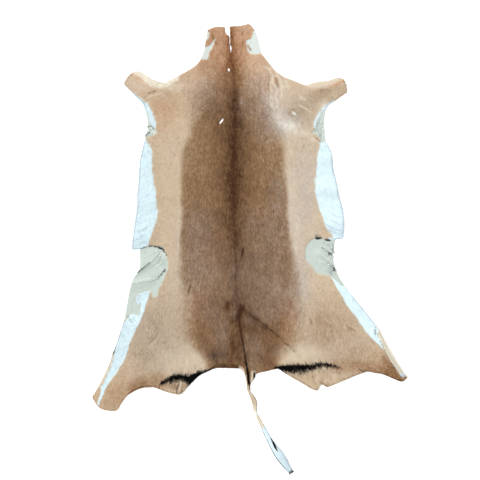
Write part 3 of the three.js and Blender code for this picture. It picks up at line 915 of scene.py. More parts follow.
@dataclass
class Cloud:
    """Smooth seeded noise: random heights on a lattice, blended between with soft steps."""

    seed: int
    size: int = 256
    heights: Array = field(init=False)

    def __post_init__(self) -> None:
        """Draws the lattice's heights."""
        self.heights = np.random.default_rng(self.seed).uniform(-1, 1, (self.size, self.size))

    def at(self, x: Array, y: Array, wide: float, long: float | None = None) -> Array:
        """The noise at some points.

        Args:
            x: the points' places across.
            y: the points' places along.
            wide: how wide one cell is.
            long: how long one cell is, as wide as it is if left out.

        Returns:
            Values from -1 to 1.
        """
        u = x / wide + 1000.37
        v = y / (long or wide) + 1000.71
        i = np.floor(u).astype(int)
        j = np.floor(v).astype(int)
        s = smooth(0.0, 1.0, u - i)
        t = smooth(0.0, 1.0, v - j)
        i0 = i % self.size
        j0 = j % self.size
        i1 = (i + 1) % self.size
        j1 = (j + 1) % self.size
        low = self.heights[i0, j0] * (1 - s) + self.heights[i1, j0] * s
        high = self.heights[i0, j1] * (1 - s) + self.heights[i1, j1] * s
        return low * (1 - t) + high * t


@dataclass
class Plan:
    """The pelt seen from above: fields worked out on a fine grid, and read between its points."""

    step: float = 2.0
    half_width: float = 500.0
    half_length: float = 704.0
    x: Array = field(init=False)
    y: Array = field(init=False)
    depth: Array = field(init=False)
    hair_depth: Array = field(init=False)
    zones: Array = field(init=False)
    lift: Array = field(init=False)
    dent: Array = field(init=False)
    cloud: Cloud = field(default_factory=lambda: Cloud(SEED))

    def __post_init__(self) -> None:
        """Works out the fields: depth inside the outline, each zone, and the skin's rise."""
        across = np.arange(-self.half_width, self.half_width + self.step, self.step)
        along = np.arange(-self.half_length, self.half_length + self.step, self.step)
        self.x, self.y = np.meshgrid(across, along, indexing="ij")
        ring = np.vstack([through(run, 4)[:-1] for run in EDGE.values()])
        self.depth = depth_in(self.x, self.y, ring)
        self.hair_depth = self.depth.copy()
        self.open_holes()
        self.zones = np.zeros((len(Zone), *self.x.shape))
        self.zones[Zone.TONE] = self.back_tone()
        self.add_patches()
        self.add_regions()
        self.add_streaks()
        self.lift = self.skin_lift()
        self.dent = self.hair_dent()

    def open_holes(self) -> None:
        """Takes each hole out of the pelt, and a little more of the hair, so that none hangs over it."""
        for hole in HOLES:
            dx = self.x - hole.x
            dy = self.y - hole.y
            c = np.cos(hole.turn)
            s = np.sin(hole.turn)
            out = np.hypot((dx * c + dy * s) / hole.long, (dy * c - dx * s) / hole.wide)
            away = (out - 1.0) * hole.wide
            self.depth = np.minimum(self.depth, away)
            self.hair_depth = np.minimum(self.hair_depth, away - 1.6)

    def back_tone(self) -> Array:
        """How dark the brown back is: each station's profile, blended along the pelt.

        Across a station the tone falls from the spine line as exp(-distance / fall) to the tone just
        inside the saddle's edge, and fades out over the edge.

        Returns:
            The tone of each grid point.
        """
        rows = sorted(BACK, key=lambda row: row.y)
        ys = [row.y for row in rows]
        value = {name: np.interp(self.y, ys, [getattr(row, name) for row in rows])
                 for name in Station.__dataclass_fields__}
        wander = 4.0 * self.cloud.at(self.x, self.y, 60, 45)
        off = self.x - value["spine"] + 1.5 * self.cloud.at(self.y, self.y * 0, 30)
        left = value["tone_left"] + (value["line"] - value["tone_left"]) * np.exp(
            -np.abs(off) / value["fall_left"])
        right = value["tone_right"] + (value["line"] - value["tone_right"]) * np.exp(
            -np.abs(off) / value["fall_right"])
        tone = np.where(off < 0, left, right)
        edge_left = smooth(-value["soft_left"], value["soft_left"], self.x - value["left"] + wander)
        edge_right = smooth(-value["soft_right"], value["soft_right"], value["right"] - self.x + wander)
        return tone * edge_left * edge_right

    def window(self, low: Array, high: Array) -> tuple[slice, slice]:
        """The part of the grid that holds a box.

        Args:
            low: the box's low corner.
            high: its high corner.

        Returns:
            The grid's rows and columns in it.
        """
        start = np.floor((low + [self.half_width, self.half_length]) / self.step).astype(int)
        stop = np.ceil((high + [self.half_width, self.half_length]) / self.step).astype(int) + 1
        start = np.maximum(start, 0)
        return slice(start[0], max(stop[0], 1)), slice(start[1], max(stop[1], 1))

    def add_regions(self) -> None:
        """Adds each region to its zone, at full strength inside and fading over its soft edge."""
        for zone, regions in REGIONS.items():
            for region in regions:
                ring = np.asarray(region.edge, dtype=float)
                reach = region.soft + region.ragged + self.step
                box = self.window(ring.min(axis=0) - reach, ring.max(axis=0) + reach)
                x = self.x[box]
                y = self.y[box]
                ragged = region.ragged * (self.cloud.at(x, y, 9, 12) + 0.6 * self.cloud.at(y, x, 4))
                mask = region.strength * smooth(-region.soft, region.soft, depth_in(x, y, ring) + ragged)
                held = self.zones[zone][box]
                held[...] = np.maximum(held, mask)

    def add_streaks(self) -> None:
        """Adds each narrow mark: full on its line's half width and fading over its soft edge."""
        for zone, streaks in STREAKS.items():
            for streak in streaks:
                line = through(streak.line, 4)
                reach = max(streak.first, streak.last) + streak.soft + self.step
                box = self.window(line.min(axis=0) - reach, line.max(axis=0) + reach)
                x = self.x[box]
                y = self.y[box]
                away, where = from_line(x, y, line)
                half = streak.first + (streak.last - streak.first) * where
                half = half * (1 + 0.35 * self.cloud.at(x, y, 7))
                mask = streak.strength * smooth(streak.soft, 0.0, away - half)
                held = self.zones[zone][box]
                if streak.strength < 0 and zone is not Zone.TONE:
                    held *= 1 + mask
                elif zone is Zone.TONE:
                    held += mask
                else:
                    np.maximum(held, mask, out=held)

    def add_patches(self) -> None:
        """Adds each soft oval: exp(-distance squared) of its two half widths, broken up by noise."""
        clumps = 0.8 * self.cloud.at(self.x, self.y, 13, 19) + 0.5 * self.cloud.at(self.y, self.x, 6)
        for zone, patches in PATCHES.items():
            for patch in patches:
                out = ((self.x - patch.x) / patch.across) ** 2 + ((self.y - patch.y) / patch.along) ** 2
                broken = 1 + clumps * (0.9 if min(patch.across, patch.along) < 30 else 0.2)
                self.zones[zone] += patch.strength * np.exp(-out) * broken

    def skin_lift(self) -> Array:
        """How high the skin lies over the floor: the highest ridge there, each (1 - distance^2)^2.

        Returns:
            The rise of each grid point.
        """
        lift = np.zeros(self.x.shape)
        for ridge in RIDGES:
            line = np.asarray([ridge.start, ridge.end], dtype=float)
            away, _ = from_line(self.x, self.y, line)
            reach = np.minimum(away / ridge.half, 1.0)
            lift = np.maximum(lift, ridge.high * (1 - reach**2) ** 2)
        return lift

    def hair_dent(self) -> Array:
        """How deep the creases press the hair down: the deepest there, each exp(-distance squared).

        Returns:
            The depth at each grid point.
        """
        dent = np.zeros(self.x.shape)
        for crease in CREASES:
            line = through(crease.line, 4)
            reach = 3 * crease.half
            box = self.window(line.min(axis=0) - reach, line.max(axis=0) + reach)
            away, where = from_line(self.x[box], self.y[box], line)
            fade = np.sin(np.pi * np.clip(where, 0.02, 0.98)) ** 0.4
            held = dent[box]
            np.maximum(held, crease.deep * fade * np.exp(-((away / crease.half) ** 2)), out=held)
        return dent

    def read(self, values: Array, x: Array, y: Array) -> Array:
        """Reads a field between its grid points, blending the four round each place.

        Args:
            values: one field, or a stack of them.
            x: the places across.
            y: the places along.

        Returns:
            The field at each place, stacked as the fields are.
        """
        u = np.clip((x + self.half_width) / self.step, 0, self.x.shape[0] - 1.001)
        v = np.clip((y + self.half_length) / self.step, 0, self.x.shape[1] - 1.001)
        i = u.astype(int)
        j = v.astype(int)
        s = u - i
        t = v - j
        return (
            values[..., i, j] * (1 - s) * (1 - t)
            + values[..., i + 1, j] * s * (1 - t)
            + values[..., i, j + 1] * (1 - s) * t
            + values[..., i + 1, j + 1] * s * t
        )

    def top(self, x: Array, y: Array) -> Array:
        """Height of the under hair's surface, or of the skin where it is bare.

        Args:
            x: the places across.
            y: the places along.

        Returns:
            The height over the floor at each place.
        """
        bare = self.read(self.zones[Zone.BARE], x, y)
        rim = smooth(-1.0, 7.0, self.read(self.depth, x, y))
        lumps = 0.25 * self.cloud.at(x, y, 24, 34) + 0.16 * self.cloud.at(y, x, 11)
        wrinkles = 0.5 * np.abs(self.cloud.at(x + y, x - y, 16, 7)) * bare
        hair = (UNDER_HAIR + lumps) * (1 - bare) * (0.35 + 0.65 * rim)
        thick = SKIN * (0.7 + 0.3 * rim) + hair + wrinkles - self.read(self.dent, x, y)
        return self.read(self.lift, x, y) + np.maximum(thick, 0.5)


@dataclass
class Surface:
    """A finished mesh before it is a Blender object: points, triangles, and what varies over it."""

    points: Array
    triangles: Array
    zones: Array
    lock: Array
    unwrap: Array
    slots: Array | None = None

    def make(self, name: str, materials: list[bpy.types.Material], sharp: float | None = None
             ) -> bpy.types.Object:
        """Makes the Blender object, in metres and at the origin.

        Args:
            name: the piece's name.
            materials: its materials, in the order of its slots.
            sharp: the angle, in radians, past which an edge is sharp.

        Returns:
            The new object, linked to the scene.
        """
        mesh = bpy.data.meshes.new(name)
        mesh.vertices.add(len(self.points))
        mesh.vertices.foreach_set("co", (self.points * MM).astype(np.float32).ravel())
        mesh.loops.add(self.triangles.size)
        mesh.loops.foreach_set("vertex_index", self.triangles.astype(np.int32).ravel())
        mesh.polygons.add(len(self.triangles))
        starts = np.arange(len(self.triangles), dtype=np.int32) * 3
        mesh.polygons.foreach_set("loop_start", starts)
        if self.slots is not None:
            mesh.polygons.foreach_set("material_index", self.slots.astype(np.int32))
        mesh.update(calc_edges=True)
        mesh.polygons.foreach_set("use_smooth", np.ones(len(self.triangles), dtype=bool))
        for part, title in enumerate(("tone_zones", "hair_zones", "skin_zones")):
            held = mesh.attributes.new(title, "FLOAT_VECTOR", "POINT")
            held.data.foreach_set("vector", self.zones[3 * part:3 * part + 3].T.astype(np.float32).ravel())
        held = mesh.attributes.new("lock", "FLOAT_VECTOR", "POINT")
        held.data.foreach_set("vector", self.lock.astype(np.float32).ravel())
        layer = mesh.uv_layers.new(name="OFBake")
        layer.uv.foreach_set("vector", self.unwrap[self.triangles.ravel()].astype(np.float32).ravel())
        if sharp is not None:
            mesh.set_sharp_from_angle(angle=sharp)
        for material in materials:
            mesh.materials.append(material)
        piece = bpy.data.objects.new(name, mesh)
        bpy.context.scene.collection.objects.link(piece)
        return piece


@dataclass
class PeltSheet:
    """The tanned skin and its under hair: one closed thin sheet with the pelt's outline.

    No new corner comes nearer to an old one than near of a side, and the unwrap leans by lean of the
    height, so that the rim has a place in it too.
    """

    plan: Plan
    step: float = 4.0
    near: float = 0.08
    lean: float = 0.6

    def cut(self) -> tuple[Array, Array, Array]:
        """Cuts a flat grid along the outline.

        Each grid triangle that the outline crosses keeps the part inside it, and its new corners lie
        where the depth, taken as a straight slope along each side, is nought.

        Returns:
            The flat points, the triangles, and the boundary's edges, each with the pelt on its left.
        """
        lines = (np.arange(-half, half + 1, self.step) for half in HALF_GRID)
        x, y = np.meshgrid(*lines, indexing="ij")
        flat = np.column_stack([x.ravel(), y.ravel()])
        depth = self.plan.read(self.plan.depth, flat[:, 0], flat[:, 1])
        index = np.arange(len(flat)).reshape(x.shape)
        a = index[:-1, :-1].ravel()
        b = index[1:, :-1].ravel()
        c = index[1:, 1:].ravel()
        d = index[:-1, 1:].ravel()
        every = np.vstack([np.column_stack([a, b, c]), np.column_stack([a, c, d])])
        held = (depth[every] > 0).sum(axis=1)
        whole = every[held == 3]
        single = self.turned(every[held == 1], depth > 0)
        double = self.turned(every[held == 2], depth <= 0)
        sides = np.vstack([single[:, [0, 1]], single[:, [0, 2]], double[:, [0, 1]], double[:, [0, 2]]])
        sides = np.sort(sides, axis=1)
        keys, place = np.unique(sides[:, 0] * len(flat) + sides[:, 1], return_inverse=True)
        low = keys // len(flat)
        high = keys % len(flat)
        t = np.clip(depth[low] / (depth[low] - depth[high]), self.near, 1 - self.near)[:, None]
        new = flat[low] * (1 - t) + flat[high] * t
        place = place.ravel() + len(flat)
        n = len(single)
        m = len(double)
        ab, ac = place[:n], place[n:2 * n]
        oab, oac = place[2 * n:2 * n + m], place[2 * n + m:]
        triangles = np.vstack([
            whole,
            np.column_stack([single[:, 0], ab, ac]),
            np.column_stack([oab, double[:, 1], double[:, 2]]),
            np.column_stack([oab, double[:, 2], oac]),
        ])
        border = np.vstack([np.column_stack([ab, ac]), np.column_stack([oac, oab])])
        points = np.vstack([flat, new])
        used = np.zeros(len(points), dtype=int)
        used[triangles.ravel()] = 1
        renumber = np.cumsum(used) - 1
        return points[used == 1], renumber[triangles], renumber[border]

    @staticmethod
    def turned(triangles: Array, odd: Array) -> Array:
        """Turns each triangle so that its one odd corner comes first.

        Args:
            triangles: the triangles.
            odd: whether each point is the odd one.

        Returns:
            The triangles, each facing as before.
        """
        first = np.argmax(odd[triangles], axis=1)[:, None]
        return np.take_along_axis(triangles, (first + np.arange(3)) % 3, axis=1)

    def surface(self) -> Surface:
        """Closes the cut grid: a hair side, an underside on the floor, and the rim between them.

        Returns:
            The closed sheet.
        """
        flat, triangles, border = self.cut()
        n = len(flat)
        x = flat[:, 0]
        y = flat[:, 1]
        upper = np.column_stack([flat, self.plan.top(x, y)])
        lower = np.column_stack([flat, self.plan.read(self.plan.lift, x, y)])
        u, v = border.T
        wall = np.vstack([np.column_stack([u, u + n, v + n]), np.column_stack([u, v + n, v])])
        zones = self.plan.read(self.plan.zones, x, y)
        points = np.vstack([upper, lower])
        shear = (points[:, :2] + self.lean * points[:, 2:] + UNWRAP_START) / (UNWRAP_SPAN * [2, 1])
        shear[n:, 0] += 0.5
        slots = np.zeros(2 * len(triangles) + len(wall))
        slots[len(triangles):2 * len(triangles)] = 1
        return Surface(
            points=points,
            triangles=np.vstack([triangles, triangles[:, ::-1] + n, wall]),
            zones=np.hstack([zones, zones]),
            lock=np.full((2 * n, 3), (0.5, 0.35, 0.5)),
            unwrap=shear,
            slots=slots,
        )


@dataclass
class Locks:
    """Flat locks of hair, each a strip that narrows to a tip: root, middle and tip places in space."""

    root: Array
    middle: Array
    tip: Array
    side: Array
    width: Array
    zones: Array
    shade: Array

    def surface(self) -> Surface:
        """Makes the strips: two points at the root, two at the middle and one at the tip.

        Returns:
            All the locks as one surface of three triangles a lock.
        """
        count = len(self.width)
        half = self.side * (self.width / 2)[:, None]
        corners = np.stack([
            self.root - half,
            self.root + half,
            self.middle - half * 0.8,
            self.middle + half * 0.8,
            self.tip,
        ], axis=1)
        pattern = np.array([[0, 3, 1], [0, 2, 3], [2, 4, 3]])
        triangles = (pattern[None] + 5 * np.arange(count)[:, None, None]).reshape(-1, 3)
        points = corners.reshape(-1, 3)
        along = np.tile([0.0, 0.0, LOCK_MIDDLE, LOCK_MIDDLE, 1.0], count)
        shade = np.repeat(self.shade, 5, axis=0)
        low = points[:, :2].min(axis=0)
        spread = points[:, :2].max(axis=0) - low
        return Surface(
            points=points,
            triangles=triangles,
            zones=np.repeat(self.zones, 5, axis=1),
            lock=np.column_stack([shade[:, 0], along, shade[:, 1]]),
            unwrap=(points[:, :2] - low) / spread * 0.98 + 0.01,
        )

    def some(self, chosen: Array) -> "Locks":
        """The locks at some places in the arrays.

        Args:
            chosen: the places.

        Returns:
            Those locks alone.
        """
        return Locks(self.root[chosen], self.middle[chosen], self.tip[chosen], self.side[chosen],
                     self.width[chosen], self.zones[:, chosen], self.shade[chosen])


@dataclass
class Coat:
    """The short lying hair, planted evenly over the pelt and combed the way it grows.

    A lock's direction wanders on its own, and swirls and eddies with its neighbours. Hair that reaches
    over bare skin, seen at look_ahead of its length, is shorter by up to bare_short. Past the outline it
    hangs by up to fringe. feather is how far its colour is shifted along it.
    """

    plan: Plan
    spacing: float = 1.52
    width: float = 1.3
    wander: float = 0.18
    swirl: float = 0.26
    eddy: float = 0.22
    bend: float = 0.1
    look_ahead: float = 0.8
    bare_short: float = 0.72
    fringe: float = 2.0
    feather: float = 2.2
    black_reach: float = 1.5
    black_long: float = 11.0
    black_strands: float = 0.26
    stain_hair: tuple[float, float] = (0.66, 1.1)
    lie_blend: float = 30.0
    names: tuple[str, ...] = ("fur_rump", "fur_loin", "fur_back", "fur_neck")

    def lie(self, x: Array, y: Array) -> tuple[Array, Array, Array]:
        """Which way the hair lies and how long it is: the named places, each counting for less further off.

        Args:
            x: the places across.
            y: the places along.

        Returns:
            The direction across, the direction along, and the length.
        """
        total = np.zeros(x.shape)
        across = np.zeros(x.shape)
        along = np.zeros(x.shape)
        length = np.zeros(x.shape)
        for lie in LIES:
            weight = 1.0 / ((x - lie.x) ** 2 + (y - lie.y) ** 2 + self.lie_blend**2) ** 1.5
            size = np.hypot(lie.across, lie.along)
            across += weight * lie.across / size
            along += weight * lie.along / size
            length += weight * lie.length
            total += weight
        size = np.hypot(across, along)
        return across / size, along / size, length / total

    def plant(self) -> Locks:
        """Plants a lock in each cell of a fine grid that has hair, and lays it down.

        Returns:
            All the locks of the coat.
        """
        rng = np.random.default_rng(SEED + 1)
        plan = self.plan
        gx, gy = np.meshgrid(*(np.arange(-half, half, self.spacing) for half in HALF_GRID))
        x = gx.ravel() + rng.uniform(0, self.spacing, gx.size)
        y = gy.ravel() + rng.uniform(0, self.spacing, gx.size)
        depth = plan.read(plan.hair_depth, x, y)
        bare = plan.read(plan.zones[Zone.BARE], x, y)
        stain_and_shade = plan.read(plan.zones[Zone.STAIN_AND_SHADE], x, y)
        grows = (depth > 0.4) & ((bare < 0.5) | (stain_and_shade > rng.uniform(*self.stain_hair, x.size)))
        x, y, bare, depth = x[grows], y[grows], bare[grows], depth[grows]
        across, along, length = self.lie(x, y)
        turn = (self.wander * rng.normal(size=x.size) + self.swirl * plan.cloud.at(x, y, 38)
                + self.eddy * plan.cloud.at(y, x, 13))
        dx = across * np.cos(turn) - along * np.sin(turn)
        dy = across * np.sin(turn) + along * np.cos(turn)
        length = length * rng.uniform(0.75, 1.2, x.size)
        far = self.look_ahead
        ahead = plan.read(plan.zones[Zone.BARE], x + far * dx * length, y + far * dy * length)
        length = length * (1 - self.bare_short * np.maximum(bare, 0.75 * ahead))
        over = plan.read(plan.hair_depth, x + dx * length, y + dy * length)
        allowed = -self.fringe * rng.uniform(0.1, 1.0, x.size)
        cut = np.where(over < allowed, np.clip((depth - allowed) / np.maximum(depth - over, 0.1), 0.15, 1), 1)
        length = length * cut
        mx = x + dx * length * LOCK_MIDDLE
        my = y + dy * length * LOCK_MIDDLE
        bend = rng.normal(size=x.size) * self.bend * length
        tx = x + dx * length - dy * bend
        ty = y + dy * length + dx * bend
        tuft = plan.cloud.at(x, y, 3.1)
        knot = plan.cloud.at(y + 300, x, 12)
        other = plan.cloud.at(y, x + 700, 3.7)
        rise = HAIR_RISE * (0.8 + 0.25 * tuft + 0.1 * knot) * rng.uniform(0.7, 1.2, x.size)
        rise = rise * (1 - 0.6 * bare)
        roll = 0.3 * rng.normal(size=x.size) + 0.3 * other
        seen = self.colours(rng, x, y, dx, dy, length)
        return Locks(
            root=np.column_stack([x, y, plan.top(x, y) - 0.2]),
            middle=np.column_stack([mx, my, plan.top(mx, my) + 0.75 * rise]),
            tip=np.column_stack([tx, ty, plan.top(tx, ty) + rise * cut]),
            side=np.column_stack([-dy * np.cos(roll), dx * np.cos(roll), np.sin(roll)]),
            width=self.width * rng.uniform(0.7, 1.3, x.size),
            zones=seen,
            shade=np.clip(np.column_stack([
                0.5 + 0.4 * tuft + 0.1 * knot + 0.6 * rng.uniform(-0.5, 0.5, x.size),
                0.5 + 0.35 * other + 0.6 * rng.uniform(-0.5, 0.5, x.size),
            ]), 0, 1),
        )

    def colours(self, rng: np.random.Generator, x: Array, y: Array, dx: Array, dy: Array, length: Array
                ) -> Array:
        """The zones each lock shows, read near its tip and shifted at random along it.

        A lock that reaches over bare skin shows the zones at its root. Black is also read further back up
        a lock, far back for a few, so it hangs out of its patch in long strands.

        Args:
            rng: the source of the shifts.
            x: the roots' places across.
            y: the roots' places along.
            dx: the locks' direction across.
            dy: the locks' direction along.
            length: the locks' lengths.

        Returns:
            The zones of each lock.
        """
        plan = self.plan
        reach = 0.72 * length + self.feather * rng.normal(size=x.size)
        seen = plan.read(plan.zones, x + dx * reach, y + dy * reach)
        at_root = plan.read(plan.zones, x, y)
        over_skin = smooth(0.1, 0.5, seen[Zone.BARE])
        seen = seen * (1 - over_skin) + at_root * over_skin
        end = (0.85 + 0.6 * rng.uniform(size=x.size) ** 4) * length
        strand = rng.uniform(size=x.size) < self.black_strands
        back = end - rng.exponential(np.where(strand, self.black_long, self.black_reach))
        black = plan.zones[Zone.BLACK]
        seen[Zone.BLACK] = np.maximum(
            plan.read(black, x + dx * end, y + dy * end), plan.read(black, x + dx * back, y + dy * back))
        seen[Zone.BARE] = 0.0
        # Locks near the outline get painted shade.
        edge = smooth(4.0, 0.3, plan.read(plan.depth, x + dx * reach, y + dy * reach))
        seen[Zone.PAINTED_SHADE] = np.maximum(seen[Zone.PAINTED_SHADE], edge)
        return seen

    def pieces(self, material: bpy.types.Material) -> list[bpy.types.Object]:
        """Makes the coat as a few pieces from tail to neck, none too heavy.

        Args:
            material: the coat's finish.

        Returns:
            The pieces.
        """
        locks = self.plant()
        order = np.argsort(locks.root[:, 1], kind="stable")
        parts = np.array_split(order, len(self.names))
        if len(parts[0]) > LOCK_LIMIT:
            log.warning("too many locks in a piece: %d", len(parts[0]))
        return [locks.some(part).surface().make(name, [material]) for name, part in zip(self.names, parts)]


@dataclass(frozen=True)
class Fold:
    """A small pinched fold along a line, with its half width and height, falling off on its right."""

    name: str
    line: Points
    half: float
    high: float


FOLDS = from_rows(
    Fold,
    ("flank left long", ((-338, -72), (-318, -56), (-298, -39), (-262, 0)), 4, 2.6),
    ("flank left short", ((-325, -30), (-300, -18), (-278, -2)), 3, 1.7),
    ("flank left edge", ((-252, -18), (-264, -42), (-282, -58)), 4, 2.2),
    ("flank left inner", ((-262, -10), (-276, -36), (-296, -54)), 3, 1.7),
    ("flank left low", ((-356, -108), (-325, -97), (-293, -93), (-262, -76)), 4, 2.3),
    ("flank left under", ((-352, -122), (-330, -124), (-306, -116)), 3, 1.5),
    ("flank left foot", ((-352, -148), (-356, -170), (-352, -188)), 3.5, 1.4),
    ("flank right upper", ((254, -24), (232, -6), (214, 8)), 4, 1.9),
    ("flank right second", ((258, -12), (240, 4), (226, 16)), 3, 1.7),
    ("flank right low", ((264, -64), (238, -50), (218, -36), (196, -20)), 4.5, 1.9),
    ("flank right middle", ((256, -48), (236, -38), (206, -12)), 3, 1.7),
    ("flank right foot", ((262, -76), (240, -66), (222, -56)), 3.5, 1.6),
    ("armpit left upper", ((-308, 366), (-298, 372), (-286, 364)), 2.5, 2.2),
    ("armpit left lower", ((-314, 338), (-302, 352), (-296, 362)), 2.5, 2.2),
    ("armpit left inner", ((-300, 344), (-290, 352), (-282, 352)), 2.5, 1.2),
    ("armpit right", ((196, 352), (208, 350), (224, 344)), 3, 1),
    ("armpit right upper", ((206, 388), (214, 374), (222, 350)), 2.5, 0.8),
    ("tab left", ((-207, -399), (-212, -412), (-219, -428)), 4, 2),
    ("tab left inner", ((-198, -404), (-200, -414), (-204, -428)), 3.5, 1.8),
    ("neck right", ((-6, 600), (0, 616), (6, 640)), 3, 1.5),
)


@dataclass
class SkinFolds:
    """The pinched folds of the bare skin and of the left tab, finer than the sheet's own grid."""

    plan: Plan
    across: int = 11
    steps: int = 8

    def surface(self) -> Surface:
        """Lays each fold as a strip along its line.

        Over a strip's width the height goes up as a soft step over the left two thirds and comes down
        over the last third. It fades out at both ends as the root of a half sine, and the strip's sides
        dip just under the skin.

        Returns:
            All the folds as one surface.
        """
        points = []
        triangles = []
        start = 0
        s = np.linspace(-1, 1, self.across)
        for fold in FOLDS:
            line = through(fold.line, self.steps)
            slope = np.gradient(line, axis=0)
            slope = slope / np.linalg.norm(slope, axis=1)[:, None]
            fade = np.sqrt(np.sin(np.pi * np.linspace(0.004, 0.996, len(line))))
            offset = s[None] * fold.half * fade[:, None]
            x = line[:, :1] + slope[:, 1:] * offset
            y = line[:, 1:] - slope[:, :1] * offset
            up = smooth(-1.0, 0.3, s) * smooth(1.0, 0.3, s)
            z = self.plan.top(x, y) - 0.2 + (fold.high + 0.2) * fade[:, None] * up[None]
            points.append(np.stack([x, y, z], axis=-1).reshape(-1, 3))
            triangles.append(start + sheet_triangles(len(line), self.across))
            start += len(line) * self.across
        every = np.vstack(points)
        return Surface(
            points=every,
            triangles=np.vstack(triangles),
            zones=self.plan.read(self.plan.zones, every[:, 0], every[:, 1]),
            lock=np.full((len(every), 3), (0.5, 0.5, 0.5)),
            unwrap=(every[:, :2] + UNWRAP_START) / UNWRAP_SPAN,
        )


def sheet_triangles(rows: int, columns: int) -> Array:
    """The triangles of a grid of points, rows following a line and columns going to its right."""
    index = np.arange(rows * columns).reshape(rows, columns)
    a = index[:-1, :-1].ravel()
    b = index[:-1, 1:].ravel()
    c = index[1:, 1:].ravel()
    d = index[1:, :-1].ravel()
    return np.vstack([np.column_stack([a, b, c]), np.column_stack([a, c, d])])


@dataclass
class LegRoll:
    """The outer edge of the right hind leg, rolled over so that its pale flesh side shows."""

    plan: Plan
    steps: int = 10
    sides: int = 18
    rows: tuple[tuple[float, float, float, float], ...] = (
        (384, -236, 1.6, 1.5), (391, -256, 2.8, 3), (408, -292, 3.8, 4.2), (428, -328, 4.6, 4.8),
        (446, -358, 5.6, 5.2), (456, -372, 7, 4.8), (463, -380, 4, 2.5),
    )

    def surface(self) -> Surface:
        """Carries a half round along the edge: across by u, and up by the root of 1 - u squared.

        Returns:
            The closed roll, with its flat side just inside the hair.
        """
        rows = through(np.asarray(self.rows), self.steps)
        count = len(rows)
        slope = np.gradient(rows[:, :2], axis=0)
        slope = slope / np.linalg.norm(slope, axis=1)[:, None]
        angle = np.linspace(0, 2 * np.pi, self.sides, endpoint=False)
        u = np.cos(angle)[None]
        x = rows[:, :1] + slope[:, 1:] * u * rows[:, 2:3]
        y = rows[:, 1:2] - slope[:, :1] * u * rows[:, 2:3]
        base = self.plan.read(self.plan.lift, rows[:, 0], rows[:, 1])[:, None] + 0.8
        z = base + np.maximum(np.sin(angle), 0)[None] * rows[:, 3:]
        return Surface(
            points=np.stack([x, y, z], axis=-1).reshape(-1, 3),
            triangles=tube_triangles(count, self.sides),
            zones=self.zones(np.repeat(np.linspace(0, 1, count), self.sides), np.tile(u[0], count)),
            lock=np.full((count * self.sides, 3), (0.5, 0.5, 0.5)),
            unwrap=np.column_stack([
                np.repeat(np.linspace(0, 1, count), self.sides), np.tile(angle / (2 * np.pi), count)]),
        )

    @staticmethod
    def zones(t: Array, u: Array) -> Array:
        """The roll's colours: cream, with a painted shadow line on its inner side and a painted grey shade at
        its tip.

        Args:
            t: how far along the roll, from 0 to 1.
            u: how far across, from -1 inside to 1 outside.

        Returns:
            The zones at each place.
        """
        zones = np.zeros((len(Zone), len(t)))
        zones[Zone.TONE] = 0.2
        zones[Zone.CREAM] = 0.15
        zones[Zone.BARE] = 0.5
        zones[Zone.WHITE] = smooth(0.76, 0.84, t)
        zones[Zone.BARE] *= 1 - zones[Zone.WHITE]
        # Painted grey shade at the roll's tip.
        zones[Zone.PAINTED_SHADE] = zones[Zone.WHITE]
        # Painted shadow along the roll's inner side.
        zones[Zone.STAIN_AND_SHADE] = 0.5 * smooth(0.6, 0.98, -u)
        return zones


def tube_triangles(rows: int, sides: int) -> Array:
    """The triangles of a closed tube of rings that go round to the left of its path, with flat ends."""
    i = np.arange(rows - 1)[:, None] * sides
    k = np.arange(sides)[None]
    a = (i + k).ravel()
    b = (i + (k + 1) % sides).ravel()
    walls = np.vstack([np.column_stack([a, b + sides, b]), np.column_stack([a, a + sides, b + sides])])
    fan = np.arange(1, sides - 1)
    first = np.column_stack([np.zeros(len(fan), dtype=int), fan, fan + 1])
    last = np.column_stack([np.zeros(len(fan), dtype=int), fan + 1, fan]) + (rows - 1) * sides
    return np.vstack([walls, first, last])


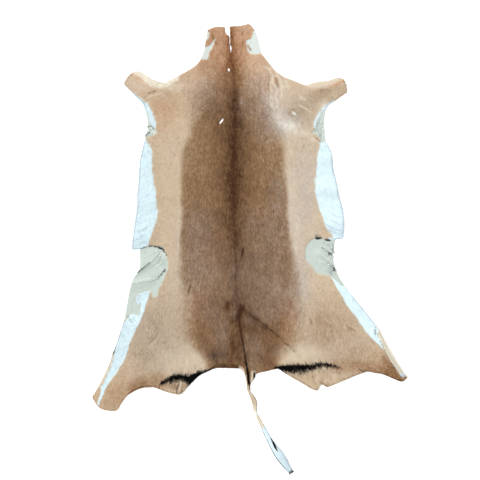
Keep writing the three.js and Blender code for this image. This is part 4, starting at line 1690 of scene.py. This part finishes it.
@dataclass
class Tail:
    """The tail: a soft rounded core with a flat underside, bent along its middle, and its long hair."""

    steps: int = 6
    sides: int = 20
    locks: int = 9000
    fork_tip: tuple[float, float] = (6.5, 4.0)
    fork_middle: tuple[float, float] = (1.5, 1.0)
    rows: Array = field(init=False)

    def __post_init__(self) -> None:
        """Runs a smooth curve through the tail's rows."""
        table = [(row.x, row.y, row.wide / 2, row.high, row.cream, row.white) for row in TAIL]
        self.rows = through(np.asarray(table), self.steps)

    def at(self, t: Array, u: Array) -> Array:
        """Points on the tail's surface: along its middle by t, across by u of its half width, and up by
        its height times the root of 1 - u squared.

        Args:
            t: how far along the tail, from 0 to 1.
            u: how far across, from -1 to 1, or a little more for hair that stands out.

        Returns:
            The points.
        """
        place = np.clip(t, 0, 1) * (len(self.rows) - 1)
        index = np.arange(len(self.rows))
        x, y, half, high = (np.interp(place, index, self.rows[:, k]) for k in range(4))
        slope = np.gradient(self.rows[:, :2], axis=0)
        slope = slope / np.linalg.norm(slope, axis=1)[:, None]
        sx = np.interp(place, index, slope[:, 0])
        sy = np.interp(place, index, slope[:, 1])
        beyond = np.maximum(t - 1, 0) * 300
        z = high * np.sqrt(np.clip(1 - u**2, 0.0, 1))
        return np.column_stack([x + (-sy) * u * half + sx * beyond, y + sx * u * half + sy * beyond, z])

    def zones(self, t: Array, u: Array) -> Array:
        """The tail's colours: buff, then white, with a black sliver on its right, painted shade on its sides
        and growing towards the tip, and darker at the tip.

        Args:
            t: how far along the tail, from 0 to 1.
            u: how far across, from -1 to 1.

        Returns:
            The zones at each place.
        """
        place = np.clip(t, 0, 1) * (len(self.rows) - 1)
        index = np.arange(len(self.rows))
        y = np.interp(place, index, self.rows[:, 1])
        zones = np.zeros((len(Zone), len(t)))
        zones[Zone.TONE] = 0.22 * smooth(-560, -420, y)
        # Painted shade over the whole tail, growing towards the tip.
        zones[Zone.PAINTED_SHADE] = 0.1 + 0.3 * smooth(-590, -640, y)
        zones[Zone.CREAM] = np.interp(place, index, self.rows[:, 4])
        zones[Zone.WHITE] = np.interp(place, index, self.rows[:, 5])
        middle = 0.74 - (-563 - y) / 72
        slim = 0.34 * smooth(24, 0, np.abs(y + 584))
        sliver = smooth(slim + 0.1, slim - 0.06, np.abs(u - middle)) * smooth(24, 18, np.abs(y + 584))
        zones[Zone.BLACK] = sliver * smooth(-606, -588, y)
        zones[Zone.TONE] += 0.9 * sliver
        zones[Zone.WHITE] *= 1 - 0.8 * sliver
        # Painted shade on the tail's sides, and darker at the tip.
        first = smooth(-492, -484, y)
        zones[Zone.STAIN_AND_SHADE] = np.maximum(
            0.46 * first * smooth(0.5, 1.0, u) + 0.3 * first * smooth(0.5, 1.0, -u),
            (1 - first) * (0.62 * smooth(0.55, 1.0, -u) * smooth(-492, -530, y) + 0.3 * smooth(0.7, 1.0, u)))
        zones[Zone.STAIN_AND_SHADE] = np.maximum(zones[Zone.STAIN_AND_SHADE], 0.5 * smooth(-646, -668, y))
        return zones

    def core(self) -> Surface:
        """Carries the half-round profile along the tail's middle and closes both ends.

        Returns:
            The closed core.
        """
        count = len(self.rows)
        t = np.repeat(np.linspace(0, 1, count), self.sides)
        angle = np.tile(np.linspace(0, 2 * np.pi, self.sides, endpoint=False), count)
        u = -np.cos(angle)
        points = self.at(t, u)
        points[:, 2] *= (np.sin(angle) > 1e-6) * 0.92
        return Surface(
            points=points,
            triangles=tube_triangles(count, self.sides),
            zones=self.zones(t, np.clip(u, -1, 1)),
            lock=np.full((len(points), 3), (0.5, 0.35, 0.5)),
            unwrap=np.column_stack([t, angle / (2 * np.pi)]),
        )

    def hair(self) -> Surface:
        """Lays long hair along the tail, and splays it into two points at the tip.

        Returns:
            The hair as one surface.
        """
        rng = np.random.default_rng(SEED + 2)
        t = rng.uniform(0.03, 0.985, self.locks)
        u = np.sin(rng.uniform(-1.35, 1.35, self.locks))
        white = np.interp(t * (len(self.rows) - 1), np.arange(len(self.rows)), self.rows[:, 5])
        reach = (0.022 + 0.03 * white) * rng.uniform(0.7, 1.2, self.locks)
        reach = np.minimum(reach, np.maximum(1.004 - t, 0.008))
        fork = np.where(rng.uniform(size=self.locks) < 0.5, -1.0, 1.0) * smooth(0.91, 1.0, t)
        spread = u * (1 + 0.06 * rng.normal(size=self.locks))
        root = self.at(t, u)
        middle = self.at(t + LOCK_MIDDLE * reach, u * 0.4 + spread * 0.6)
        tip = self.at(t + reach, spread)
        tip[:, :2] += np.outer(fork, self.fork_tip)
        middle[:, :2] += np.outer(fork, self.fork_middle)
        lifted = rng.uniform(0.2, 1.0, self.locks)
        middle[:, 2] += 0.5 + 0.6 * lifted
        tip[:, 2] += 0.4 + 0.9 * lifted
        along = tip - root
        along = along / np.maximum(np.linalg.norm(along, axis=1), 1e-6)[:, None]
        side = np.cross(along, np.array([0.0, 0.0, 1.0]))
        side = side / np.maximum(np.linalg.norm(side, axis=1), 1e-6)[:, None]
        side[:, 2] += 0.3 * rng.normal(size=self.locks)
        return Locks(
            root=root,
            middle=middle,
            tip=tip,
            side=-side,
            width=rng.uniform(0.7, 1.4, self.locks),
            zones=self.zones(t + 0.5 * reach, u),
            shade=rng.uniform(0, 1, (self.locks, 2)),
        ).surface()


def linear(red: float, green: float, blue: float) -> Colour:
    """A colour as a shader takes it.

    Args:
        red: from 0 to 255, as a screen shows it.
        green: the same.
        blue: the same.

    Returns:
        The colour in linear light, with full alpha.
    """
    shown = np.array([red, green, blue]) / 255
    light = np.where(shown <= 0.04045, shown / 12.92, ((shown + 0.055) / 1.055) ** 2.4)
    return (float(light[0]), float(light[1]), float(light[2]), 1.0)


class Value:
    """A number that a shader works out, with the usual signs of arithmetic."""

    def __init__(self, tree: "Tree", socket: bpy.types.NodeSocket) -> None:
        """Keeps the socket and the tree it is in."""
        self.tree = tree
        self.socket = socket

    def combine(self, operation: str, first: "Value | float", second: "Value | float") -> "Value":
        """Adds one Math node and returns its value."""
        node = self.tree.node("ShaderNodeMath", {"operation": operation}, {0: first, 1: second})
        return Value(self.tree, node.outputs[0])

    def __add__(self, other: "Value | float") -> "Value":
        """Adds."""
        return self.combine("ADD", self, other)

    def __radd__(self, other: float) -> "Value":
        """Adds to a number."""
        return self.combine("ADD", other, self)

    def __sub__(self, other: "Value | float") -> "Value":
        """Subtracts."""
        return self.combine("SUBTRACT", self, other)

    def __mul__(self, other: "Value | float") -> "Value":
        """Multiplies."""
        return self.combine("MULTIPLY", self, other)

    def step(self, low: float, high: float) -> "Value":
        """A soft step of this value from 0 at low to 1 at high."""
        settings = {"interpolation_type": "SMOOTHSTEP"}
        node = self.tree.node("ShaderNodeMapRange", settings, {0: self, 1: low, 2: high, 3: 0.0, 4: 1.0})
        return Value(self.tree, node.outputs[0])


class Tree:
    """A material's node tree, with one way to add any node."""

    def __init__(self, name: str) -> None:
        """Starts an empty material."""
        self.material = bpy.data.materials.new(name)
        self.material.use_nodes = True
        self.nodes = self.material.node_tree.nodes
        self.links = self.material.node_tree.links
        self.nodes.clear()

    def node(self, kind: str, settings: dict | None = None, inputs: dict | None = None) -> bpy.types.Node:
        """Adds a node.

        Args:
            kind: the node's type.
            settings: its own settings, set before its sockets.
            inputs: a value, a socket or a Value for each socket's name or number.

        Returns:
            The node.
        """
        node = self.nodes.new(kind)
        for key, setting in (settings or {}).items():
            setattr(node, key, setting)
        for key, given in (inputs or {}).items():
            socket = node.inputs[key]
            source = given.socket if isinstance(given, Value) else given
            if isinstance(source, bpy.types.NodeSocket):
                self.links.new(source, socket)
            else:
                socket.default_value = source
        return node

    def parts(self, attribute: str) -> tuple[Value, Value, Value]:
        """The three numbers of a mesh attribute."""
        read = self.node("ShaderNodeAttribute", {"attribute_name": attribute})
        split = self.node("ShaderNodeSeparateXYZ", None, {0: read.outputs["Vector"]})
        return tuple(Value(self, out) for out in split.outputs)

    def place(self, scale: tuple[float, float, float]) -> bpy.types.NodeSocket:
        """The object's own coordinates, stretched."""
        own = self.node("ShaderNodeTexCoord").outputs["Object"]
        mapping = self.node("ShaderNodeMapping", None, {"Vector": own, "Scale": scale})
        return mapping.outputs[0]

    def noise(self, scale: tuple[float, float, float], detail: float = 3.0, rough: float = 0.55) -> Value:
        """Fractal noise from 0 to 1 on stretched coordinates."""
        node = self.node("ShaderNodeTexNoise", None, {
            "Vector": self.place(scale), "Scale": 1.0, "Detail": detail, "Roughness": rough})
        return Value(self, node.outputs[0])

    def ramp(self, value: Value, stops: tuple[tuple[float, Colour], ...]) -> bpy.types.NodeSocket:
        """A colour for each value, blended between stops."""
        node = self.node("ShaderNodeValToRGB", None, {0: value})
        elements = node.color_ramp.elements
        while len(elements) < len(stops):
            elements.new(1.0)
        for element, (place, colour) in zip(elements, stops):
            element.position = place
            element.color = colour
        return node.outputs[0]

    def mix(self, share: Value | float, first: object, second: object, blend: str = "MIX"
            ) -> bpy.types.NodeSocket:
        """Blends two colours."""
        node = self.node("ShaderNodeMix", {"data_type": "RGBA", "blend_type": blend, "clamp_factor": True},
                         {0: share, 6: first, 7: second})
        return node.outputs[2]

    def finish(self, inputs: dict) -> bpy.types.Material:
        """Ends the material in one Principled shader with these sockets."""
        shader = self.node("ShaderNodeBsdfPrincipled", None, inputs)
        output = self.node("ShaderNodeOutputMaterial")
        self.links.new(shader.outputs[0], output.inputs[0])
        return self.material


@dataclass(frozen=True)
class CoatFinish:
    """The hair's and bare skin's colours, as a screen shows them under the studio's light."""

    flank: Colour = linear(207, 187, 160)
    tan: Colour = linear(177, 152, 122)
    saddle: Colour = linear(149, 116, 84)
    brown: Colour = linear(117, 87, 60)
    spine: Colour = linear(70, 42, 24)
    warm_tint: Colour = (1.03, 0.81, 0.72, 1.0)
    mauve_tint: Colour = (0.97, 1.11, 1.46, 1.0)
    cream: Colour = linear(238, 230, 212)
    white: Colour = linear(222, 240, 245)
    # Lavender grey: painted shade on white hair.
    white_shade: Colour = linear(140, 156, 180)
    black: Colour = linear(6, 5, 6)
    skin: Colour = linear(188, 199, 191)
    skin_pale: Colour = linear(226, 231, 228)
    # Dark grey for real stains and for painted shade in creases and folds.
    stain_and_shade: Colour = linear(58, 60, 62)
    roughness: float = 0.7

    def material(self) -> bpy.types.Material:
        """Builds the finish: a tone ramp, tinted and overlaid by each zone, broken up by hair streaks."""
        tree = Tree("coat")
        tone, warm, mauve = tree.parts("tone_zones")
        cream, white, black = tree.parts("hair_zones")
        # The skin zones: bare skin; real stains together with painted shade in creases and folds; and painted
        # shade at edges, in the flaps' waves and on the tail (rim).
        bare, stain_and_shade, rim = tree.parts("skin_zones")
        random, along, other = tree.parts("lock")
        mottle = tree.noise((26, 18, 26), 4)
        streaks = tree.noise((330, 60, 120), 3, 0.6)
        grain = tree.noise((900, 500, 900), 2)
        crease = tree.noise((190, 420, 300), 5, 0.65)
        clumps = tree.noise((130, 90, 120), 4, 0.7)
        speck = tree.noise((300, 270, 300), 2, 0.6)
        vary = (random - 0.5) * 0.26 + (mottle - 0.5) * 0.22 + (streaks - 0.5) * 0.34
        deep = tone.step(0.0, 0.4) * 0.95 + 0.35
        colour = tree.ramp(tone + vary * deep, (
            (0.0, self.flank), (0.22, self.tan), (0.46, self.saddle), (0.72, self.brown), (1.0, self.spine)))
        tint = (random - 0.5) * 0.7 + 0.15 + mottle * 0.7 + (clumps - 0.5) * 2.4 + 0.5
        colour = tree.mix(warm * tint, colour, tree.mix(1.0, colour, self.warm_tint, "MULTIPLY"))
        colour = tree.mix(mauve * tint, colour, tree.mix(1.0, colour, self.mauve_tint, "MULTIPLY"))
        colour = tree.mix(cream * ((random - 0.5) * 0.5 + 1.0), colour, self.cream)
        # Painted shade on white hair: lavender grey at the edges and in soft clumps, for the belly flaps'
        # waves.
        shadow = rim * 0.45 + clumps.step(0.45, 0.75) * 0.12
        colour = tree.mix(white.step(0.3, 0.7), colour, tree.mix(shadow, self.white, self.white_shade))
        colour = tree.mix(bare, colour, tree.mix(cream, self.skin, self.skin_pale))
        colour = tree.mix(black.step(0.3, 0.7), colour, self.black)
        # The dark of real stains and of painted shade in the skin's creases, folds and the leg roll's inner
        # side.
        colour = tree.mix((stain_and_shade * 1.6 + crease - 1.0).step(0.0, 0.3), colour, self.stain_and_shade)
        # A brightness factor: lighter towards each lock's tip and varied at random, with painted shade at the
        # edges and along the bare skin's creases, and darker stained speckles.
        light = 0.88 + along * 0.16 + (other - 0.5) * 0.16 + (grain - 0.5) * (deep * 0.3 - 0.02)
        light = light - rim * 0.14 + (crease - 0.5) * bare * 0.5 - stain_and_shade * bare * speck.step(0.5, 0.62) * 1.8
        shade = tree.node("ShaderNodeCombineXYZ", None, {0: light, 1: light, 2: light})
        colour = tree.mix(1.0, colour, shade.outputs[0], "MULTIPLY")
        bump = tree.node("ShaderNodeBump", None, {
            "Strength": 0.35, "Distance": 0.001, "Height": streaks * 0.6 + crease * bare * 1.4})
        return tree.finish({
            "Base Color": colour,
            "Roughness": self.roughness + bare * 0.1 + black * 0.15 - (streaks - 0.5) * 0.2,
            "Normal": bump.outputs[0],
            "Specular IOR Level": 0.08,
        })


@dataclass(frozen=True)
class SuedeFinish:
    """The flesh side: pale tanned leather with a short nap."""

    pale: Colour = linear(212, 205, 188)
    dark: Colour = linear(186, 175, 156)
    roughness: float = 0.9

    def material(self) -> bpy.types.Material:
        """Builds the finish: two pale leathers, clouded, with a nap in the bump."""
        tree = Tree("suede")
        cloud = tree.noise((14, 11, 14), 5)
        nap = tree.noise((700, 640, 700), 3, 0.7)
        colour = tree.mix(cloud.step(0.3, 0.7), self.pale, self.dark)
        bump = tree.node("ShaderNodeBump", None, {"Strength": 0.4, "Distance": 0.0006, "Height": nap})
        return tree.finish({
            "Base Color": colour,
            "Roughness": self.roughness,
            "Normal": bump.outputs[0],
            "Specular IOR Level": 0.2,
        })


@dataclass(frozen=True)
class FloorFinish:
    """A plain white studio floor."""

    white: Colour = (0.9, 0.9, 0.9, 1.0)

    def material(self) -> bpy.types.Material:
        """Builds the finish."""
        tree = Tree("floor_white")
        return tree.finish({"Base Color": self.white, "Roughness": 0.9, "Specular IOR Level": 0.1,
                            "Emission Color": (1.0, 1.0, 1.0, 1.0), "Emission Strength": 0.3})


@dataclass(frozen=True)
class Studio:
    """The floor, the light and the camera straight above the hide."""

    view_width: float = 1.44
    centre: tuple[float, float] = (-0.0285, 0.0285)
    lens: float = 85.0
    sensor: float = 36.0
    floor_half: float = 6.0
    floor_gap: float = 0.0004
    sky: float = 0.84
    sun: float = 2.0

    def build(self) -> None:
        """Makes the floor, the lights and the camera."""
        self.lay_floor()
        self.hang_lights()
        self.set_camera()

    def lay_floor(self) -> None:
        """Lays a large flat floor under the hide."""
        half = self.floor_half
        mesh = bpy.data.meshes.new("floor")
        low = -self.floor_gap
        corners = [(-half, -half, low), (half, -half, low), (half, half, low), (-half, half, low)]
        mesh.from_pydata(corners, [], [(0, 1, 2, 3)])
        mesh.materials.append(FloorFinish().material())
        floor = bpy.data.objects.new("floor", mesh)
        bpy.context.scene.collection.objects.link(floor)

    def hang_lights(self) -> None:
        """Sets an even white surround and one soft key light from the upper left."""
        world = bpy.data.worlds.new("studio")
        world.use_nodes = True
        background = world.node_tree.nodes["Background"]
        background.inputs["Color"].default_value = (1.0, 1.0, 1.0, 1.0)
        background.inputs["Strength"].default_value = self.sky
        bpy.context.scene.world = world
        light = bpy.data.lights.new("key", "SUN")
        light.energy = self.sun
        light.angle = 0.5
        key = bpy.data.objects.new("key", light)
        key.rotation_euler = Vector((-0.75, 0.65, 1.2)).to_track_quat("Z", "Y").to_euler()
        bpy.context.scene.collection.objects.link(key)

    def set_camera(self) -> None:
        """Sets the camera straight above, far enough for its view to be as wide as the picture."""
        data = bpy.data.cameras.new("camera")
        data.lens = self.lens
        data.sensor_width = self.sensor
        data.clip_end = 100.0
        camera = bpy.data.objects.new("camera", data)
        height = self.view_width * self.lens / self.sensor
        camera.location = (self.centre[0], self.centre[1], height)
        bpy.context.scene.collection.objects.link(camera)
        bpy.context.scene.camera = camera
        bpy.context.scene.view_settings.view_transform = "Standard"


def ride(piece: bpy.types.Object) -> None:
    """Declares that a piece belongs to the hide's one body, and logs how many triangles it has."""
    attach(piece, "root")
    log.info("%s: %d triangles", piece.name, len(piece.data.polygons))


def main() -> None:
    """Builds the hide and its studio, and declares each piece."""
    logging.basicConfig(level=logging.INFO, format="%(name)s %(message)s")
    Studio().build()
    plan = Plan()
    coat = CoatFinish().material()
    suede = SuedeFinish().material()
    skin = PeltSheet(plan).surface().make("hide_skin", [coat, suede], sharp=0.9)
    fur = Coat(plan).pieces(coat)
    tail = Tail()
    core = tail.core().make("tail_core", [coat])
    tuft = tail.hair().make("fur_tail", [coat])
    folds = SkinFolds(plan).surface().make("skin_folds", [coat])
    roll = LegRoll(plan).surface().make("leg_roll", [coat])
    added = [*fur, core, tuft, folds, roll]
    for piece in [skin, *added]:
        ride(piece)
    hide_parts("hide")


if __name__ == "__main__":
    main()
